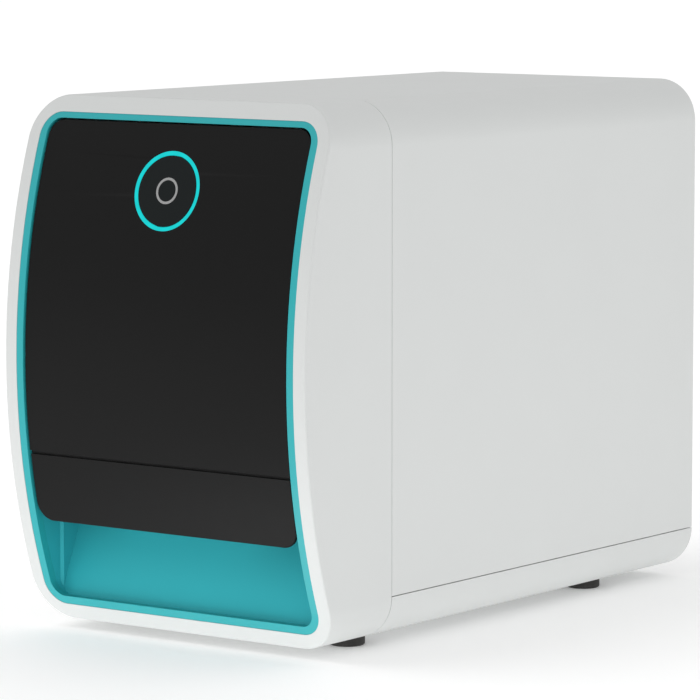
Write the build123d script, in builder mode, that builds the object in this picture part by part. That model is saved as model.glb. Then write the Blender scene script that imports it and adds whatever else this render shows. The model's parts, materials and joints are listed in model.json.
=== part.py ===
"""Compact flatbed UV printer: a white, round-edged desktop case with a bowed black front.

The lower black front is the drawer front of the flat bed, which slides out over a teal finger scoop.
The upper black front is a flip-up door that carries the power button. Behind it a lifting gantry
carries the print carriage across the bed, with ink tanks above and the electronics below.

Frame: +Z up, the front faces -Y, the origin is on the floor under the middle of the case. Millimetres.
"""

import os
from math import radians, sqrt, tan

from build123d import *

# ---- Case ----
BODY_W = 284.0
BODY_D = 526.0
BODY_H = 400.0
CORNER_R = 33.0
FRONT_BULGE = 41.0
BEZEL_DEPTH = 106.0
WALL = 3.0
SEAM_GAP = 0.6
EDGE_R = 1.6
FOOT_H = 8.0
FOOT_R = 13.5
FOOT_INSET_X = 45.0
FOOT_FRONT_INSET = 111.0
FOOT_REAR_INSET = 94.0
FOOT_HOLE_R = 4.0
FOOT_HOLE_DEPTH = 5.0
LIP_L = 9.0
LIP_T = 2.0
LIP_GAP = 0.3
REAR_RECESS = 5.0
LEDGE_W = 3.0
LEDGE_T = 4.0

# ---- Front opening, trim and black fronts ----
BEZEL_BAND = 11.0
BEZEL_TOP_BAND = 12.7
BEZEL_BOTTOM_BAND = 11.5
OPENING_R = 18.0
TRIM_BAND = 6.3
TRIM_TOP_BAND = 4.6
TRIM_RECESS = 0.3
TRIM_FLANGE = 3.0
FIT = 0.15
PANEL_T = 3.0
PANEL_RECESS = 1.6
PANEL_GAP = 1.4
PANEL_CORNER_R = 12.0
GROOVE_HEIGHT = 130.8
GROOVE_W = 2.6
DRAWER_BOTTOM_HEIGHT = 78.0
DRAWER_CORNER_R = 14.0
RAMP_ANGLE = 67.5
RAMP_FOOT_DEPTH = 7.6
SCOOP_WALL = 2.4
SCOOP_RISE = 84.5
SCOOP_CORNER_R = 1.2
SCOOP_STEP = 2.0
SCOOP_STEP_DEPTH = 8.0
FRAME_DEPTH = 7.0
FRAME_T = 4.0
FRAME_RIM = 5.0
DOOR_LEDGE = 4.0
CROSSBAR_H = 13.0
GROOVE_COVER = 7.0
CLEAR = 0.3

# ---- Door hinge and power button ----
HINGE_DROP = 14.0
HINGE_DEPTH = 8.6
HINGE_INSET_X = 28.0
HINGE_PIN_R = 1.5
HINGE_EAR_R = 2.8
HINGE_EAR_W = 5.0
BRACKET_EAR_W = 4.0
BRACKET_LOW = 16.0
BRACKET_HIGH = 7.0
RUNNING = 0.05
BUTTON_DROP = 66.5
BUTTON_R = 26.8
BUTTON_GAP = 0.4
LIGHT_RING_W = 3.0
LIGHT_RING_T = 5.0
MARK_R = 10.0
MARK_W = 1.9
MARK_DEPTH = 0.6
BUTTON_T = 5.0
BUTTON_TRAVEL = 1.5
HOUSING_WALL = 3.0
HOUSING_DEPTH = 14.0
HOUSING_FLOOR = 2.0
PLUNGER_R = 4.0

# ---- Chassis ----
SHEET = 2.0
SIDE_CLEAR = 9.0
CHASSIS_WALL_H = 33.0
CHASSIS_GAP = 1.0
CHASSIS_FRONT = 58.0
CHASSIS_REAR = 23.0
DECK_HEIGHT = 76.0
DECK_T = 3.0
DECK_FRONT = 75.0
DECK_REAR = 15.0
SHELF_HEIGHT = 256.0
SHELF_FRONT = 133.0
SHELF_L = 250.0

# ---- Flat bed and its drive ----
RAIL_W = 12.0
RAIL_H = 8.0
RAIL_SPREAD = 100.0
BLOCK_W = 27.0
BLOCK_L = 35.0
BLOCK_STACK = 13.0
BLOCK_LIFT = 3.0
BLOCK_PITCH = 110.0
BED_PLATE_W = 136.0
BED_PLATE_T = 4.0
TABLE_W = 160.0
TABLE_L = 180.0
TABLE_T = 8.0
TABLE_STANDOFF = 3.0
TABLE_FRONT = 98.0
STANDOFF_R = 5.0
BED_TRAVEL = 250.0
RAIL_END = 20.5
IDLER_SETBACK = 12.0
DRIVE_SETBACK = 6.0
PULLEY_R = 8.0
PULLEY_W = 8.0
BELT_GAP = 0.1
BELT_T = 1.4
BELT_W = 6.0
SHAFT_R = 2.5
MOTOR_SIDE = 42.0
MOTOR_L = 38.0
MOTOR_BORE_L = 20.0
CLAMP_L = 14.0

# ---- Gantry and carriage ----
NOZZLE_GAP = 2.0
BEAM_D = 30.0
BEAM_H = 40.0
BEAM_RISE = 36.0
BEAM_BACK = 173.0
BEAM_END_GAP = 3.0
SCREW_R = 4.0
ROD_R = 4.0
BUSH_R = 6.5
LIFT_INSET = 11.0
LIFT_PITCH = 16.0
LIFT_MOTOR_SIDE = 20.0
LIFT_MOTOR_L = 34.0
CARRIAGE_LEFT = 34.0
CARRIAGE_RIGHT = 30.0
CARRIAGE_PLATE_T = 4.0
CARRIAGE_BLOCK_L = 45.0
SHELF_PLATE_RISE = 31.0
HEAD_Y = 98.0
HEAD_W = 28.0
HEAD_D = 40.0
HEAD_H = 75.0
HEAD_COLLAR = 3.0
LAMP_W = 16.0
LAMP_H = 52.0
LAMP_RISE = 2.0
BELT_RISE = 33.0
DRIVE_INSET = 28.0
IDLER_INSET = 11.0

# ---- Cap station, tanks, electronics ----
CAP_W = 32.0
CAP_D = 48.0
CAP_WALL = 2.5
CAP_DROP = 5.0
STATION_RIM = 3.0
STATION_CLEAR = 13.0
WIPER_T = 1.2
TANK_COUNT = 4
TANK_W = 46.0
TANK_D = 92.0
TANK_HEADROOM = 44.0
TANK_GAP = 6.0
TANK_CAP_R = 12.0
TANK_CAP_H = 10.0
SUPPLY_W = 98.0
SUPPLY_L = 150.0
SUPPLY_H = 44.0
BOARD_W = 86.0
BOARD_L = 150.0
BOARD_T = 1.6
BOARD_LIFT = 8.0
ELECTRONICS_FRONT = 300.0
FAN_SIDE = 60.0
FAN_T = 15.0
FAN_BORE_R = 28.0
FAN_HUB_R = 12.0
FAN_X = 60.0
FAN_DROP = 80.0
FAN_BLADES = 7
INLET_W = 28.0
INLET_H = 48.0
INLET_INSET = 16.0
INLET_RISE = 44.0
INLET_L = 22.0
ROCKER_W = 12.0
ROCKER_H = 18.0
ROCKER_R = 14.0
ROCKER_PIN_R = 1.5
ROCKER_PIN_L = 1.4
PORT_X = 60.0
PORT_W = 13.0
PORT_H = 12.0

# ---- Derived places ----
HALF_W = BODY_W / 2
FRONT_Y = -BODY_D / 2
REAR_Y = BODY_D / 2
BASE_Z = FOOT_H
TOP_Z = FOOT_H + BODY_H
MID_Z = FOOT_H + BODY_H / 2
FRONT_R = (BODY_H**2 / 4 + FRONT_BULGE**2) / (2 * FRONT_BULGE)
SEAM_Y = FRONT_Y + BEZEL_DEPTH
PAN_TOP_Z = BASE_Z + CORNER_R
OPEN_X = HALF_W - BEZEL_BAND
OPEN_LOW_Z = BASE_Z + BEZEL_BOTTOM_BAND
OPEN_HIGH_Z = TOP_Z - BEZEL_TOP_BAND
TRIM_X = OPEN_X - TRIM_BAND
TRIM_LOW_Z = OPEN_LOW_Z + TRIM_BAND
TRIM_HIGH_Z = OPEN_HIGH_Z - TRIM_TOP_BAND
TRIM_R = OPENING_R - TRIM_BAND
PANEL_X = TRIM_X - PANEL_GAP
PANEL_IN = PANEL_RECESS + PANEL_T
DOOR_TOP_Z = TRIM_HIGH_Z - PANEL_GAP
DOOR_LOW_Z = BASE_Z + GROOVE_HEIGHT + GROOVE_W / 2
DRAWER_TOP_Z = BASE_Z + GROOVE_HEIGHT - GROOVE_W / 2
DRAWER_LOW_Z = BASE_Z + DRAWER_BOTTOM_HEIGHT
SCOOP_TOP_Z = BASE_Z + SCOOP_RISE
CROSSBAR_LOW_Z = DOOR_LOW_Z + GROOVE_COVER - CROSSBAR_H
REAR_PANEL_Y = REAR_Y - REAR_RECESS - WALL
BAY_X = HALF_W - WALL - SIDE_CLEAR - SHEET
CHASSIS_X = HALF_W - CORNER_R - CHASSIS_GAP
INLET_X = INLET_INSET - CHASSIS_X
CHASSIS_Z = BASE_Z + WALL
FLANGE_Z = CHASSIS_Z + CHASSIS_WALL_H
DECK_Z = BASE_Z + DECK_HEIGHT
SHELF_Z = BASE_Z + SHELF_HEIGHT
HINGE_Z = DOOR_TOP_Z - HINGE_DROP
BUTTON_Z = TOP_Z - BUTTON_DROP
HOME_X = BAY_X - CARRIAGE_RIGHT - BEAM_END_GAP
BED_X = HOME_X - CAP_W / 2 - STATION_CLEAR - TABLE_W / 2
PLATE_Z = DECK_Z + BLOCK_STACK
TABLE_Z = PLATE_Z + BED_PLATE_T + TABLE_STANDOFF
NOZZLE_Z = TABLE_Z + TABLE_T + NOZZLE_GAP
HEAD_MID_Y = FRONT_Y + HEAD_Y
BEAM_Y = FRONT_Y + BEAM_BACK - BEAM_D
BEAM_Z = NOZZLE_Z + BEAM_RISE
LIFT_X = BAY_X - LIFT_INSET
ROD_Y = BEAM_Y + BEAM_D / 2 - LIFT_PITCH / 2
SCREW_Y = BEAM_Y + BEAM_D / 2 + LIFT_PITCH / 2
BELT_Z = BEAM_Z + BELT_RISE
DRIVE_X = -BAY_X + DRIVE_INSET
IDLER_X = BAY_X - IDLER_INSET
BLOCK_FRONT_Y = FRONT_Y + DECK_FRONT + RAIL_END + BLOCK_L / 2 + BED_TRAVEL
BED_DRIVE_Y = REAR_PANEL_Y - MOTOR_SIDE / 2 - DRIVE_SETBACK
BED_IDLER_Y = FRONT_Y + DECK_FRONT + IDLER_SETBACK
BELT_OUT_R = PULLEY_R + BELT_GAP + BELT_T


def front_y(z, depth=0.0):
    """Y of the bowed front at height z, a distance under its skin."""
    return FRONT_Y + FRONT_R - sqrt((FRONT_R - depth) ** 2 - (z - MID_Z) ** 2)


def save(piece, name):
    """Label a finished piece and write it as one STEP file."""
    piece.part.label = name
    export_step(piece.part, f"parts/{name}.step")


def block(x, y, z, mode=Mode.ADD):
    """A box between the low and high values given for X, Y and Z."""
    with Locations(((x[0] + x[1]) / 2, (y[0] + y[1]) / 2, (z[0] + z[1]) / 2)):
        Box(x[1] - x[0], y[1] - y[0], z[1] - z[0], mode=mode)


def rod_x(radius, x, y, z, mode=Mode.ADD):
    """A cylinder along X between two X values."""
    with Locations(((x[0] + x[1]) / 2, y, z)):
        Cylinder(radius, x[1] - x[0], rotation=(0, 90, 0), mode=mode)


def rod_y(radius, x, y, z, mode=Mode.ADD):
    """A cylinder along Y between two Y values."""
    with Locations((x, (y[0] + y[1]) / 2, z)):
        Cylinder(radius, y[1] - y[0], rotation=(90, 0, 0), mode=mode)


def rod_z(radius, x, y, z, mode=Mode.ADD):
    """A cylinder along Z between two Z values."""
    with Locations((x, y, (z[0] + z[1]) / 2)):
        Cylinder(radius, z[1] - z[0], mode=mode)


def body_outline(inset, mode=Mode.ADD):
    """The case's front-view outline, inset from its skin, in the current sketch."""
    with Locations((0, MID_Z)):
        RectangleRounded(BODY_W - 2 * inset, BODY_H - 2 * inset, CORNER_R - inset, mode=mode)


def body_ring(outer, inner, y):
    """A ring following the case's outline, between two insets and two Y values."""
    with BuildSketch(Plane.XZ.offset(-y[1])) as ring:
        body_outline(outer)
        body_outline(inner, mode=Mode.SUBTRACT)
    extrude(ring.sketch, amount=y[1] - y[0])


def window(half_width, low, high, radius, mode=Mode.ADD):
    """A rounded window centred on X, between two heights, in the current front-view sketch."""
    with Locations((0, (low + high) / 2)):
        RectangleRounded(2 * half_width, high - low, radius, mode=mode)


def front_cylinder(depth, mode):
    """The cylinder whose skin is the bowed front, shrunk by a depth."""
    with Locations((0, FRONT_Y + FRONT_R, MID_Z)):
        Cylinder(FRONT_R - depth, BODY_W + 2 * WALL, rotation=(0, 90, 0), mode=mode)


def bow(depth_out, depth_in):
    """Keep only what lies between two depths under the bowed front."""
    front_cylinder(depth_out, Mode.INTERSECT)
    front_cylinder(depth_in, Mode.SUBTRACT)


def ramp_y(z):
    """Y of the scoop's sloping back at height z."""
    foot = front_y(TRIM_LOW_Z) + RAMP_FOOT_DEPTH
    return foot + (z - TRIM_LOW_Z) / tan(radians(RAMP_ANGLE))


def belt_loop(plane, length):
    """A flat belt loop on two equal pulleys, in the given plane, along its local X."""
    with BuildSketch(plane) as loop:
        SlotCenterToCenter(length, 2 * BELT_OUT_R)
        SlotCenterToCenter(length, 2 * (BELT_OUT_R - BELT_T), mode=Mode.SUBTRACT)
    extrude(loop.sketch, amount=BELT_W)


os.makedirs("parts", exist_ok=True)

# ============================ Case ============================

# The hollow inside the front bezel, used as a cutter.
with BuildPart() as bezel_hollow:
    with BuildSketch(Plane.XZ):
        body_outline(WALL)
    extrude(amount=BODY_D / 2)
    front_cylinder(WALL, Mode.INTERSECT)

# Front bezel: a deep rounded frame with a bowed face and a lip that sits inside the rear covers.
with BuildPart() as front_bezel:
    with BuildSketch(Plane.XZ.offset(-SEAM_Y + SEAM_GAP / 2)):
        body_outline(0)
    extrude(amount=BEZEL_DEPTH)
    front_cylinder(0, Mode.INTERSECT)
    front_rim = front_bezel.faces().sort_by(Axis.Y)[0].outer_wire().edges()
    fillet(front_rim, EDGE_R)
    add(bezel_hollow.part, mode=Mode.SUBTRACT)
    with BuildSketch(Plane.XZ):
        window(OPEN_X, OPEN_LOW_Z, OPEN_HIGH_Z, OPENING_R)
    extrude(amount=BODY_D / 2, mode=Mode.SUBTRACT)
    body_ring(WALL, WALL + LIP_GAP + LIP_T, (SEAM_Y - LIP_L, SEAM_Y - SEAM_GAP / 2))
    body_ring(WALL + LIP_GAP, WALL + LIP_GAP + LIP_T, (SEAM_Y - LIP_L, SEAM_Y + LIP_L))
    tray_x = (-CHASSIS_X - 1.0, CHASSIS_X + 1.0)
    block(tray_x, (SEAM_Y - LIP_L, SEAM_Y + LIP_L), (BASE_Z + WALL, CHASSIS_Z + LIP_GAP + LIP_T), Mode.SUBTRACT)
save(front_bezel, "front_bezel")

# Main cover: sides and top behind the bezel, open at the rear and closed below by the base pan.
with BuildPart() as main_cover:
    body_ring(0, WALL, (SEAM_Y + SEAM_GAP / 2, REAR_Y))
    body_ring(WALL, WALL + LEDGE_W, (REAR_PANEL_Y - LEDGE_T, REAR_PANEL_Y))
    block((-BODY_W, BODY_W), (-BODY_D, BODY_D), (0, PAN_TOP_Z + SEAM_GAP / 2), Mode.SUBTRACT)
save(main_cover, "main_cover")

# Base pan: the curved underside, with an upright lip inside the cover's two sides.
with BuildPart() as base_pan:
    body_ring(0, WALL, (SEAM_Y + SEAM_GAP / 2, REAR_Y))
    body_ring(WALL, WALL + LEDGE_W, (REAR_PANEL_Y - LEDGE_T, REAR_PANEL_Y))
    block((-BODY_W, BODY_W), (-BODY_D, BODY_D), (PAN_TOP_Z - SEAM_GAP / 2, 2 * TOP_Z), Mode.SUBTRACT)
    for side in (-1, 1):
        lip_low = side * (HALF_W - WALL - LIP_GAP - LIP_T)
        lip_root = side * (HALF_W - WALL + LIP_GAP)
        lip_face = side * (HALF_W - WALL - LIP_GAP)
        lip_y = (SEAM_Y + LIP_L + 1.0, REAR_PANEL_Y - LEDGE_T - 1.0)
        block(sorted((lip_low, lip_root)), lip_y, (PAN_TOP_Z - LIP_L, PAN_TOP_Z - SEAM_GAP / 2))
        block(sorted((lip_low, lip_face)), lip_y, (PAN_TOP_Z - LIP_L, PAN_TOP_Z + LIP_L))
save(base_pan, "base_pan")

# Rear panel: set in behind the covers' rear edges, with cut-outs for the fan, the inlet and the port.
fan_z = TOP_Z - FAN_DROP
inlet_z = BASE_Z + INLET_RISE
port_z = BASE_Z + INLET_RISE
VENT_SLOTS = 9
VENT_PITCH = 9.0
VENT_L = 60.0
with BuildPart() as rear_panel:
    with BuildSketch(Plane.XZ.offset(-REAR_PANEL_Y - WALL)):
        body_outline(WALL + FIT)
        with Locations((FAN_X, fan_z)):
            with GridLocations(VENT_PITCH, 1, 5, 1):
                SlotOverall(2 * FAN_BORE_R - 14, 3.5, rotation=90, mode=Mode.SUBTRACT)
        with Locations((INLET_X, inlet_z)):
            Rectangle(INLET_W, INLET_H, mode=Mode.SUBTRACT)
        with Locations((PORT_X, port_z)):
            Rectangle(PORT_W, PORT_H, mode=Mode.SUBTRACT)
        with Locations((-FAN_X, fan_z)):
            with GridLocations(VENT_PITCH, 1, VENT_SLOTS, 1):
                SlotOverall(VENT_L, 3.5, rotation=90, mode=Mode.SUBTRACT)
    extrude(amount=WALL)
save(rear_panel, "rear_panel")

# Trim ring: the teal band lining the front opening, with a flange behind the bezel's face.
with BuildPart() as trim_ring:
    with BuildSketch(Plane.XZ):
        window(OPEN_X - FIT, OPEN_LOW_Z + FIT, OPEN_HIGH_Z - FIT, OPENING_R - FIT)
    extrude(amount=BODY_D / 2)
    bow(TRIM_RECESS, WALL)
    with BuildPart(mode=Mode.PRIVATE) as trim_flange:
        with BuildSketch(Plane.XZ):
            window(
                OPEN_X + TRIM_FLANGE,
                OPEN_LOW_Z - TRIM_FLANGE,
                OPEN_HIGH_Z + TRIM_FLANGE,
                OPENING_R + TRIM_FLANGE,
            )
        extrude(amount=BODY_D / 2)
        bow(WALL, FRAME_DEPTH)
    add(trim_flange.part)
    with BuildSketch(Plane.XZ):
        window(TRIM_X, TRIM_LOW_Z, TRIM_HIGH_Z, TRIM_R)
    extrude(amount=BODY_D / 2, mode=Mode.SUBTRACT)
save(trim_ring, "trim_ring")

# The space in front of the scoop's sloping back, used as a cutter. Its sides step in behind the trim.
ramp_slope = Vector(0, ramp_y(MID_Z) - ramp_y(BASE_Z), MID_Z - BASE_Z)
with BuildPart() as scoop_hollow:
    with BuildSketch(Plane.XY.offset(BASE_Z)) as scoop_plan:
        with Locations((0, ramp_y(BASE_Z) - BEZEL_DEPTH / 2)):
            Rectangle(2 * TRIM_X, BEZEL_DEPTH)
        fillet(scoop_plan.vertices().group_by(Axis.Y)[-1], SCOOP_CORNER_R)
    extrude(amount=ramp_slope.length, dir=ramp_slope.normalized())
    with BuildSketch(Plane.XZ):
        window(TRIM_X, TRIM_LOW_Z, TRIM_HIGH_Z, TRIM_R)
    extrude(amount=BODY_D, mode=Mode.INTERSECT)
    step_y = front_y(TRIM_LOW_Z) + SCOOP_STEP_DEPTH
    with BuildSketch(Plane.XY):
        Polygon(
            (-TRIM_X, FRONT_Y - WALL),
            (TRIM_X, FRONT_Y - WALL),
            (TRIM_X, step_y),
            (TRIM_X - SCOOP_STEP, step_y + SCOOP_STEP),
            (TRIM_X - SCOOP_STEP, 0),
            (SCOOP_STEP - TRIM_X, 0),
            (SCOOP_STEP - TRIM_X, step_y + SCOOP_STEP),
            (-TRIM_X, step_y),
            align=None,
        )
    extrude(amount=TOP_Z, mode=Mode.INTERSECT)

# Finger scoop: the teal hollow under the drawer front, with a sloping back.
with BuildPart() as finger_scoop:
    with BuildSketch(Plane.XZ):
        window(TRIM_X + SCOOP_WALL, TRIM_LOW_Z - SCOOP_WALL, TRIM_HIGH_Z, TRIM_R + SCOOP_WALL)
    extrude(amount=BODY_D / 2)
    front_cylinder(FRAME_DEPTH, Mode.INTERSECT)
    with BuildSketch(Plane.YZ):
        Polygon(
            (FRONT_Y, BASE_Z),
            (ramp_y(BASE_Z) + SCOOP_WALL, BASE_Z),
            (ramp_y(SCOOP_TOP_Z) + SCOOP_WALL, SCOOP_TOP_Z),
            (FRONT_Y, SCOOP_TOP_Z),
            align=None,
        )
    extrude(amount=BODY_W, both=True, mode=Mode.INTERSECT)
    add(scoop_hollow.part, mode=Mode.SUBTRACT)
save(finger_scoop, "finger_scoop")

# Front frame: the black carrier behind the trim, with a crossbar behind the groove and door brackets.
hinge_y = front_y(HINGE_Z) + HINGE_DEPTH
hinge_x = TRIM_X - HINGE_INSET_X
ear_gap = HINGE_EAR_W / 2 + CLEAR
with BuildPart() as frame_crossbar:
    block((-TRIM_X + CLEAR, TRIM_X - CLEAR), (FRONT_Y, 0), (CROSSBAR_LOW_Z, CROSSBAR_LOW_Z + CROSSBAR_H))
    bow(PANEL_IN + CLEAR, FRAME_DEPTH + FRAME_T)
with BuildPart() as frame_brackets:
    for side in (-1, 1):
        inner_x = side * (hinge_x - ear_gap - BRACKET_EAR_W)
        outer_x = side * (TRIM_X + SCOOP_WALL)
        block(sorted((inner_x, outer_x)), (FRONT_Y, 0), (HINGE_Z - BRACKET_LOW, HINGE_Z - BRACKET_HIGH))
    bow(FRAME_DEPTH, FRAME_DEPTH + FRAME_T)
    for side in (-1, 1):
        for offset in (-ear_gap - BRACKET_EAR_W, ear_gap):
            ear_x = sorted((side * (hinge_x + offset), side * (hinge_x + offset + BRACKET_EAR_W)))
            ear_y = (hinge_y - HINGE_EAR_R, hinge_y + HINGE_EAR_R)
            block(ear_x, ear_y, (HINGE_Z - BRACKET_LOW + 4.0, HINGE_Z))
            rod_x(HINGE_EAR_R, ear_x, hinge_y, HINGE_Z)
            rod_x(HINGE_PIN_R, ear_x, hinge_y, HINGE_Z, Mode.SUBTRACT)
with BuildPart() as front_frame:
    with BuildSketch(Plane.XZ):
        window(OPEN_X + FRAME_RIM, OPEN_LOW_Z - FRAME_RIM, OPEN_HIGH_Z + FRAME_RIM, OPENING_R + FRAME_RIM)
        window(TRIM_X, CROSSBAR_LOW_Z, TRIM_HIGH_Z, TRIM_R, mode=Mode.SUBTRACT)
        scoop_x = TRIM_X + SCOOP_WALL + FIT
        scoop_low_z = TRIM_LOW_Z - SCOOP_WALL - FIT
        scoop_high_z = SCOOP_TOP_Z + TRIM_R + SCOOP_WALL
        window(scoop_x, scoop_low_z, scoop_high_z, TRIM_R + SCOOP_WALL, mode=Mode.SUBTRACT)
        with Locations((0, (SCOOP_TOP_Z + CROSSBAR_LOW_Z) / 2)):
            Rectangle(2 * (TRIM_X - CLEAR), CROSSBAR_LOW_Z - SCOOP_TOP_Z + 2 * TRIM_R, mode=Mode.SUBTRACT)
        for side in (-1, 1):
            with Locations((side * TRIM_X, (CROSSBAR_LOW_Z + HINGE_Z - 2 * BRACKET_LOW) / 2)):
                Rectangle(2 * DOOR_LEDGE, HINGE_Z - 2 * BRACKET_LOW - CROSSBAR_LOW_Z)
    extrude(amount=BODY_D / 2)
    bow(FRAME_DEPTH, FRAME_DEPTH + FRAME_T)
    add(frame_crossbar.part)
    add(frame_brackets.part)
save(front_frame, "front_frame")

# Feet: four dark rubber discs, each with a screw hole from below.
foot_places = []
for side in (-1, 1):
    foot_places.append((side * (HALF_W - FOOT_INSET_X), FRONT_Y + FOOT_FRONT_INSET))
    foot_places.append((side * (HALF_W - FOOT_INSET_X), REAR_Y - FOOT_REAR_INSET))
with BuildPart() as feet:
    for foot_x, foot_y in foot_places:
        rod_z(FOOT_R, foot_x, foot_y, (0, FOOT_H))
        rod_z(FOOT_HOLE_R, foot_x, foot_y, (0, FOOT_HOLE_DEPTH), Mode.SUBTRACT)
    chamfer(feet.faces().group_by(Axis.Z)[0].edges().filter_by(lambda e: e.radius > FOOT_HOLE_R), 1.0)
save(feet, "feet")

# Case screws: one head in each foot, and a row of heads on the rear panel.
SCREW_HEAD_R = 3.0
SCREW_HEAD_T = 2.0
with BuildPart() as case_screws:
    for foot_x, foot_y in foot_places:
        rod_z(SCREW_HEAD_R, foot_x, foot_y, (FOOT_HOLE_DEPTH - SCREW_HEAD_T, FOOT_HOLE_DEPTH))
    for side in (-1, 1):
        for level in (PAN_TOP_Z + 14.0, MID_Z, TOP_Z - 52.0):
            screw_x = side * (HALF_W - WALL - SCREW_HEAD_R - 3.0)
            head_y = (REAR_PANEL_Y + WALL, REAR_PANEL_Y + WALL + SCREW_HEAD_T)
            rod_y(SCREW_HEAD_R, screw_x, head_y, level)
save(case_screws, "case_screws")

# ============================ Door and power button ============================

skin_y = front_y(BUTTON_Z)
button_out = Vector(0, skin_y - FRONT_Y - FRONT_R, BUTTON_Z - MID_Z).normalized()
button_origin = Vector(0, skin_y, BUTTON_Z) - button_out * PANEL_RECESS
button_plane = Plane(origin=button_origin, x_dir=(1, 0, 0), z_dir=button_out)
ring_out_r = BUTTON_R + BUTTON_GAP + LIGHT_RING_W
ring_in_r = BUTTON_R + BUTTON_GAP
housing_r = ring_out_r + HOUSING_WALL


def button_disc(outer, depth_out, depth_in, inner=0.0, mode=Mode.ADD):
    """A disc or ring on the button's tilted axis, between two depths under the door's skin."""
    with BuildSketch(button_plane.offset(-depth_in)) as disc:
        Circle(outer)
        if inner:
            Circle(inner, mode=Mode.SUBTRACT)
    extrude(disc.sketch, amount=depth_in - depth_out, mode=mode)


# Door: the upper black front, with two hinge ears behind its top edge.
with BuildPart() as door_panel:
    with BuildSketch(Plane.XZ) as door_outline:
        with Locations((0, (DOOR_LOW_Z + DOOR_TOP_Z) / 2)):
            Rectangle(2 * PANEL_X, DOOR_TOP_Z - DOOR_LOW_Z)
        fillet(door_outline.vertices().group_by(Axis.Y)[-1], PANEL_CORNER_R)
    extrude(amount=BODY_D / 2)
    bow(PANEL_RECESS, PANEL_IN)
    for side in (-1, 1):
        ear_x = (side * hinge_x - HINGE_EAR_W / 2, side * hinge_x + HINGE_EAR_W / 2)
        web_y = (front_y(HINGE_Z, PANEL_IN) - 0.5, hinge_y)
        block(ear_x, web_y, (HINGE_Z - HINGE_EAR_R, HINGE_Z + HINGE_EAR_R))
        rod_x(HINGE_EAR_R, ear_x, hinge_y, HINGE_Z)
        rod_x(HINGE_PIN_R + RUNNING, ear_x, hinge_y, HINGE_Z, Mode.SUBTRACT)
    button_disc(ring_out_r, -WALL, HOUSING_DEPTH, mode=Mode.SUBTRACT)
save(door_panel, "door_panel")

# Hinge pins: two steel pins held in the frame's brackets.
with BuildPart() as hinge_pins:
    for side in (-1, 1):
        reach = ear_gap + BRACKET_EAR_W
        rod_x(HINGE_PIN_R, (side * hinge_x - reach, side * hinge_x + reach), hinge_y, HINGE_Z)
save(hinge_pins, "hinge_pins")

# Button housing: a cup behind the door that seats the light ring and guides the button.
with BuildPart() as button_housing:
    button_disc(housing_r, PANEL_T - 1.0, HOUSING_DEPTH)
    front_cylinder(PANEL_IN, Mode.INTERSECT)
    button_disc(ring_out_r, 0, LIGHT_RING_T, mode=Mode.SUBTRACT)
    button_disc(ring_in_r, 0, HOUSING_DEPTH - HOUSING_FLOOR, mode=Mode.SUBTRACT)
    button_disc(PLUNGER_R, BUTTON_T + BUTTON_TRAVEL + CLEAR, HOUSING_DEPTH - HOUSING_FLOOR)
save(button_housing, "button_housing")

# Light ring: the glowing ring round the button.
with BuildPart() as light_ring:
    button_disc(ring_out_r, -WALL, LIGHT_RING_T, inner=ring_in_r)
    front_cylinder(PANEL_RECESS, Mode.INTERSECT)
save(light_ring, "light_ring")

# Power button: a black disc flush with the door, with a seat for its pale mark.
with BuildPart() as power_button:
    button_disc(BUTTON_R, -WALL, BUTTON_T)
    front_cylinder(PANEL_RECESS, Mode.INTERSECT)
    button_disc(MARK_R, -WALL, MARK_DEPTH, inner=MARK_R - MARK_W, mode=Mode.SUBTRACT)
save(power_button, "power_button")

# Button mark: a pale ring let into the button.
with BuildPart() as button_mark:
    button_disc(MARK_R, -WALL, MARK_DEPTH, inner=MARK_R - MARK_W)
    front_cylinder(PANEL_RECESS, Mode.INTERSECT)
save(button_mark, "button_mark")

# ============================ Chassis ============================

chassis_y = (FRONT_Y + CHASSIS_FRONT, REAR_Y - CHASSIS_REAR)
deck_y = (FRONT_Y + DECK_FRONT, REAR_Y - DECK_REAR)
shelf_y = (FRONT_Y + SHELF_FRONT, FRONT_Y + SHELF_FRONT + SHELF_L)

# Chassis tray: a folded sheet on the pan's floor, with a flange out to each side frame.
with BuildPart() as chassis_tray:
    block((-CHASSIS_X, CHASSIS_X), chassis_y, (CHASSIS_Z, CHASSIS_Z + SHEET))
    for side in (-1, 1):
        block(sorted((side * (CHASSIS_X - SHEET), side * CHASSIS_X)), chassis_y, (CHASSIS_Z, FLANGE_Z))
        flange_x = sorted((side * (CHASSIS_X - SHEET), side * (BAY_X + SHEET)))
        block(flange_x, chassis_y, (FLANGE_Z - SHEET, FLANGE_Z))
save(chassis_tray, "chassis_tray")

# Side frames: an upright sheet each side, from the tray's flange to the tank shelf.
for side, frame_name in ((-1, "side_frame_left"), (1, "side_frame_right")):
    with BuildPart() as side_frame:
        with BuildSketch(Plane.YZ.offset(side * BAY_X)) as frame_profile:
            Polygon(
                (chassis_y[0] + 4.0, FLANGE_Z),
                (chassis_y[1], FLANGE_Z),
                (chassis_y[1], DECK_Z + 20.0),
                (shelf_y[1], SHELF_Z),
                (shelf_y[0], SHELF_Z),
                (chassis_y[0] + 20.0, BEAM_Z + BEAM_H),
                (chassis_y[0] + 20.0, DECK_Z + 10.0),
                align=None,
            )
        extrude(amount=side * SHEET)
    save(side_frame, frame_name)

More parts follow.
